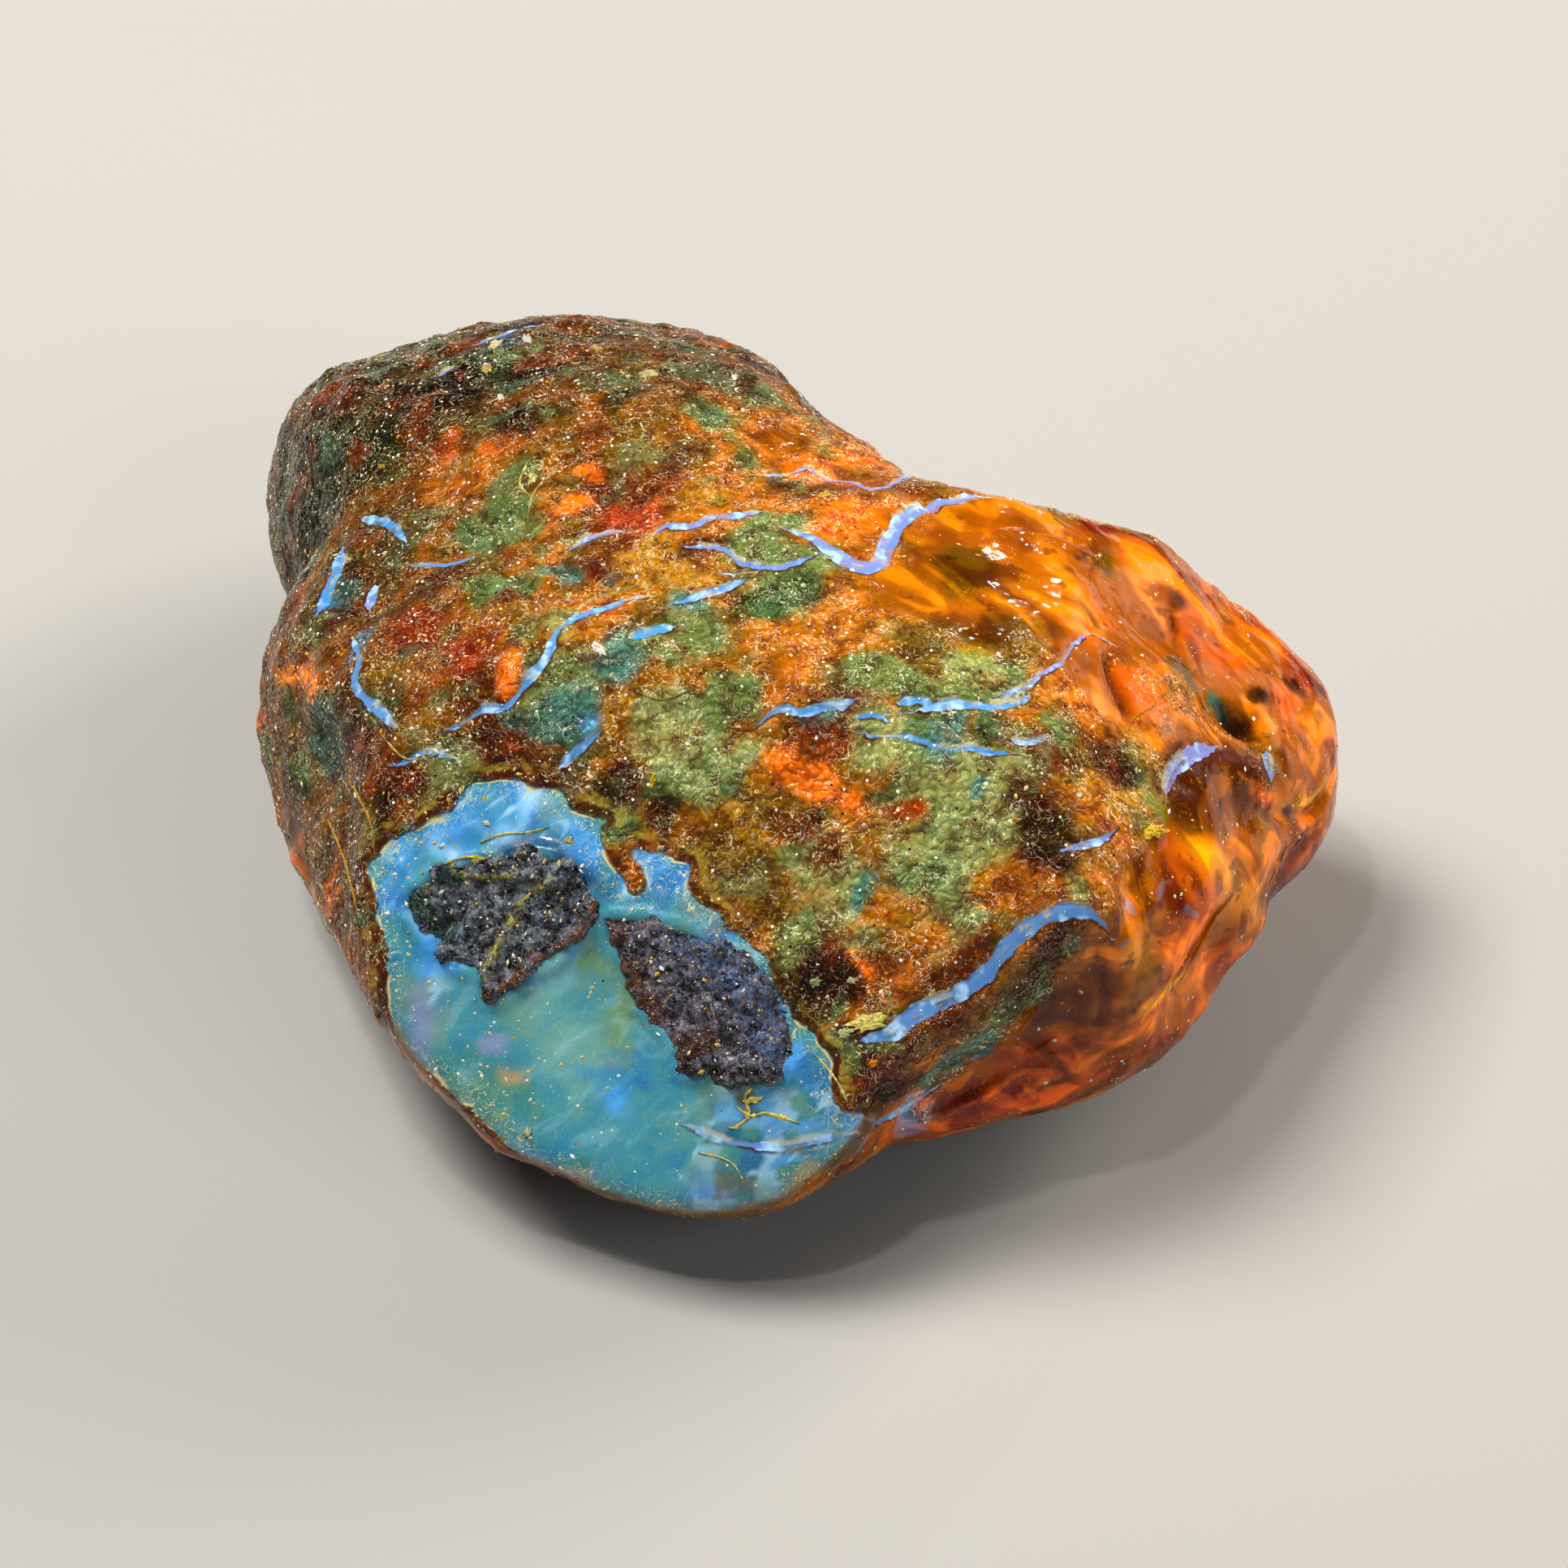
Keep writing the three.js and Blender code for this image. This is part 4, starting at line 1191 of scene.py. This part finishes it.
def matrix_material(name, hues):
    """Dark flaky matrix: charcoal grains, gold dust, and the colours that are stored on the mesh."""
    g = Graph(name)
    dark, pale, side = hues
    shade = g.mix(g.step(g.noise(0.9, 4, 0.7), 0.38, 0.62), dark, pale)
    shade = g.mix(g.step(g.noise(1.6, 4, 0.65), 0.54, 0.66, 0, 0.8), shade, "#0e0b0a")
    patchy = g.math("ADD", g.stored("side"), g.math("SUBTRACT", g.noise(1.3, 4, 0.65), 0.5))
    shade = g.mix(g.step(patchy, 0.35, 0.65, 0, 0.85), shade, side)
    streak = g.times(g.stored("streak"), g.step(g.noise(0.6, 3), 0.4, 0.55))
    shade = g.mix(streak, shade, g.stored("vein", "Color"))
    lace = g.times(g.line(g.noise(0.7, 1, 0.5, 1.5), 0.5, 0.03), 0.5)
    shade = g.mix(lace, shade, "#a4aab4")
    dust = g.step(g.noise(0.28, 2, 0.6), 0.7, 0.76)
    shade = g.mix(dust, shade, "#c9b478")
    shade = g.mix(1.0, shade, g.step(g.noise(0.3, 2), 0.3, 0.7, 0.6, 1.5), "MULTIPLY")
    grit = g.noise(0.3, 4, 0.7)
    g.set(
        Base_Color=shade,
        Roughness=g.step(g.noise(0.5, 2), 0.4, 0.6, 0.25, 0.6),
        IOR=1.5,
        Coat_Weight=0.35,
        Coat_Roughness=0.12,
        Normal=g.bump(grit, 0.45),
    )
    return g.material


def build_flake(node, name, hues, side_patches, streaks):
    """One flake of dark matrix, as a fine mesh that overlaps the lip of its hollow."""
    mesh = remeshed([node], FLAKE_VOXEL, 5)
    surface = Surface(mesh)
    points = surface.points
    normal = unit(WINDOW_NORMAL)
    facing = surface.normals @ normal
    top = ease(facing, -0.1, 0.5)
    height = top * layered(points, FLAKE_TOP_LAYERS) + layered(points, FLAKE_LAYERS)
    height += (1 - top) * (FLAKE_GROWTH + layered(points, FLAKE_SIDE_LAYERS))
    side = np.clip(patch_weights(surface, side_patches).sum(0), 0, 1)
    streak = np.zeros(len(points))
    vein = np.zeros((len(points), 3))
    for width, lift, tint, pixels in streaks:
        numbers, distance, _, _ = measure_route(surface, pixels, 2.5)
        cover = np.exp(-((distance / (width * PIXEL_MM)) ** 2))
        vein[numbers] = np.where((cover > streak[numbers])[:, None], colour(tint), vein[numbers])
        streak[numbers] = np.maximum(streak[numbers], cover)
        height[numbers] += lift * cover
    mesh.vertices.foreach_set("co", ((points + surface.normals * height[:, None]) * MM).ravel())
    put_attribute(mesh, "side", side)
    put_attribute(mesh, "streak", streak)
    put_attribute(mesh, "vein", vein)
    mesh.materials.append(matrix_material(name, hues))
    piece = placed(name, mesh, "matrix")
    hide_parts(node.name)
    return piece


class Pile:
    """Many small pieces, joined into one mesh with a colour on each."""

    def __init__(self):
        self.vertices = []
        self.faces = []
        self.tints = []

    def add(self, vertices, faces, tint):
        first = len(self.vertices)
        self.vertices.extend(vertices)
        self.faces.extend([first + corner for corner in face] for face in faces)
        self.tints.extend([colour(tint)] * len(vertices))

    def piece(self, name, material):
        mesh = bpy.data.meshes.new(name)
        mesh.from_pydata([tuple(v * MM) for v in self.vertices], [], self.faces)
        put_attribute(mesh, "tint", np.array(self.tints))
        mesh.materials.append(material)
        placed(name, mesh, "fleck")


def fleck_material():
    g = Graph("fleck")
    shade = g.mix(g.step(g.noise(0.3, 3, 0.6), 0.4, 0.65, 0, 0.45), g.stored("tint", "Color"), "#7a4a14")
    g.set(Base_Color=shade, Roughness=0.22, Metallic=0.25, Normal=g.bump(g.noise(0.25, 3), 0.12))
    return g.material


def add_plate(pile, surface, plate, random):
    """A ragged flake that lies on the surface, from its place, length, width and angle in the frame."""
    u, v, long, wide, angle, tint = plate
    turn = radians(angle)
    normal = np.array(surface.tree.find_nearest(Vector(surface.cast(u, v)) * MM)[1])
    rings = []
    edge = 0.55 + 0.65 * random.random(PLATE_SIDES)
    for share, lift in ((1.0, -0.08), (0.93, 0.06), (0.55, 0.12)):
        ring = []
        for i in range(PLATE_SIDES):
            around = 2 * pi * i / PLATE_SIDES
            ragged = share * edge[i]
            x, y = long / 2 * ragged * cos(around), wide / 2 * ragged * sin(around)
            place = surface.cast(u + x * cos(turn) + y * sin(turn), v - x * sin(turn) + y * cos(turn))
            ring.append(place + normal * lift * (0.5 + random.random()))
        rings.append(ring)
    vertices = [point for ring in rings for point in ring] + [surface.cast(u, v) + normal * 0.1]
    faces = []
    for i in range(PLATE_SIDES):
        j = (i + 1) % PLATE_SIDES
        for low, high in ((0, PLATE_SIDES), (PLATE_SIDES, 2 * PLATE_SIDES)):
            faces.append((low + i, high + i, high + j, low + j))
        faces.append((2 * PLATE_SIDES + i, len(vertices) - 1, 2 * PLATE_SIDES + j))
    pile.add(vertices, faces, tint)


def add_strand(pile, surface, width, tint, pixels, random):
    """A thin ragged thread along a route, a low ridge of three points across."""
    route = surface.cast_all(smooth_route(pixels, 4.0))
    vertices = []
    for i, place in enumerate(route):
        ahead = unit(route[min(i + 1, len(route) - 1)] - route[max(i - 1, 0)] + 1e-9)
        normal = np.array(surface.tree.find_nearest(Vector(place) * MM)[1])
        taper = min(1.0, 4 * min(i, len(route) - 1 - i) / len(route) + 0.15)
        across = np.cross(normal, ahead) * width * PIXEL_MM / 2 * taper * (0.5 + random.random())
        vertices += [place + across - 0.04 * normal, place + 0.12 * normal, place - across - 0.04 * normal]
    faces = []
    for i in range(0, len(vertices) - 3, 3):
        faces += [(i, i + 1, i + 4, i + 3), (i + 1, i + 2, i + 5, i + 4)]
    pile.add(vertices, faces, tint)


def add_grains(pile, surface, count, weights, random):
    """Tiny eight-sided grains, half sunk in the surface."""
    chosen = random.choice(len(weights), count, p=weights / weights.sum())
    for number in chosen:
        normal = surface.normals[number]
        across = unit(np.cross(normal, random.normal(size=3)))
        along = np.cross(normal, across)
        radius = GRAIN_RADIUS * (0.7 + 1.6 * random.random() ** 4)
        place = surface.points[number] + 0.2 * random.normal() * across + 0.2 * random.normal() * along
        long = radius * (1 + random.random())
        arms = [long * across, radius * along, 0.6 * radius * normal]
        corners = [place + arms[0], place + arms[1], place - arms[0], place - arms[1]]
        vertices = [*corners, place + arms[2], place - arms[2]]
        faces = []
        for i in range(4):
            faces += [(i, (i + 1) % 4, 4), ((i + 1) % 4, i, 5)]
        pile.add(vertices, faces, GRAIN_TINTS[random.integers(len(GRAIN_TINTS))])


def build_flecks(amber, flakes):
    """The plates, threads and grains of gold, yellow and white that lie in the surface."""
    random = np.random.default_rng(7)
    surface = Surface(amber.data)
    material = fleck_material()
    plates = Pile()
    for plate in PLATES:
        add_plate(plates, surface, plate, random)
    plates.piece("fleck_plates", material)
    strands = Pile()
    for width, tint, pixels in STRANDS:
        add_strand(strands, surface, width, tint, pixels, random)
    strands.piece("fleck_threads", material)
    grains = Pile()
    spread = np.clip(0.6 + 0.8 * noise_at(surface.points, 6.0, seed=71.0), 0.05, 1.5)
    spread *= (surface.points[:, 2] > GRAIN_FLOOR) * (1 + 2.5 * ease(-surface.points[:, 0], 8, 26))
    add_grains(grains, surface, AMBER_GRAINS, spread, random)
    for flake in flakes:
        plain = Surface(flake.data)
        facing = np.clip(plain.normals @ unit(WINDOW_NORMAL), 0.01, 1)
        add_grains(grains, plain, FLAKE_GRAINS, facing, random)
    grains.piece("fleck_grains", material)


def studio():
    """A pale floor, soft lights round the stone and the camera."""
    bpy.ops.mesh.primitive_plane_add(size=FLOOR_SIZE, location=(0, 0, -FLOOR_DROP))
    floor = bpy.context.object
    floor.name = "floor"
    g = Graph("floor")
    g.set(Base_Color=FLOOR_TINT, Roughness=FLOOR_ROUGHNESS, Specular_IOR_Level=0.0)
    floor.data.materials.append(g.material)

    for name, place, size, power, tint, reflected in LIGHTS:
        lamp = bpy.data.lights.new(name, "AREA")
        lamp.size = size
        lamp.energy = power
        lamp.color = tint
        holder = bpy.data.objects.new(name, lamp)
        holder.location = place
        holder.visible_glossy = reflected
        holder.rotation_euler = (TARGET - Vector(place)).to_track_quat("-Z", "Y").to_euler()
        bpy.context.collection.objects.link(holder)

    world = bpy.data.worlds.new("studio")
    world.use_nodes = True
    background = world.node_tree.nodes["Background"]
    background.inputs["Color"].default_value = SKY_TINT
    background.inputs["Strength"].default_value = SKY_STRENGTH
    scene = bpy.context.scene
    scene.world = world

    lens = bpy.data.cameras.new("camera")
    lens.lens = LENS_MM
    lens.sensor_width = SENSOR_MM
    camera = bpy.data.objects.new("camera", lens)
    camera.location = EYE
    camera.rotation_euler = (pi / 2 - ELEVATION, 0, 0)
    bpy.context.collection.objects.link(camera)
    scene.camera = camera
    scene.view_settings.view_transform = "Standard"
    scene.view_settings.gamma = VIEW_GAMMA
    scene.view_settings.exposure = VIEW_EXPOSURE
    scene.cycles.use_denoising = True
    scene.cycles.denoising_prefilter = "FAST"
    scene.cycles.max_bounces = 3
    scene.cycles.diffuse_bounces = 1
    scene.cycles.glossy_bounces = 1
    scene.cycles.transmission_bounces = 3
    scene.cycles.caustics_reflective = False


def main():
    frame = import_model()
    amber = build_amber(frame)
    flakes = [
        build_flake(frame["nodes"][f"dark_matrix_flake_{side}"], f"matrix_flake_{side}", *marks)
        for side, marks in FLAKE_MARKS.items()
    ]
    build_flecks(amber, flakes)
    studio()


main()
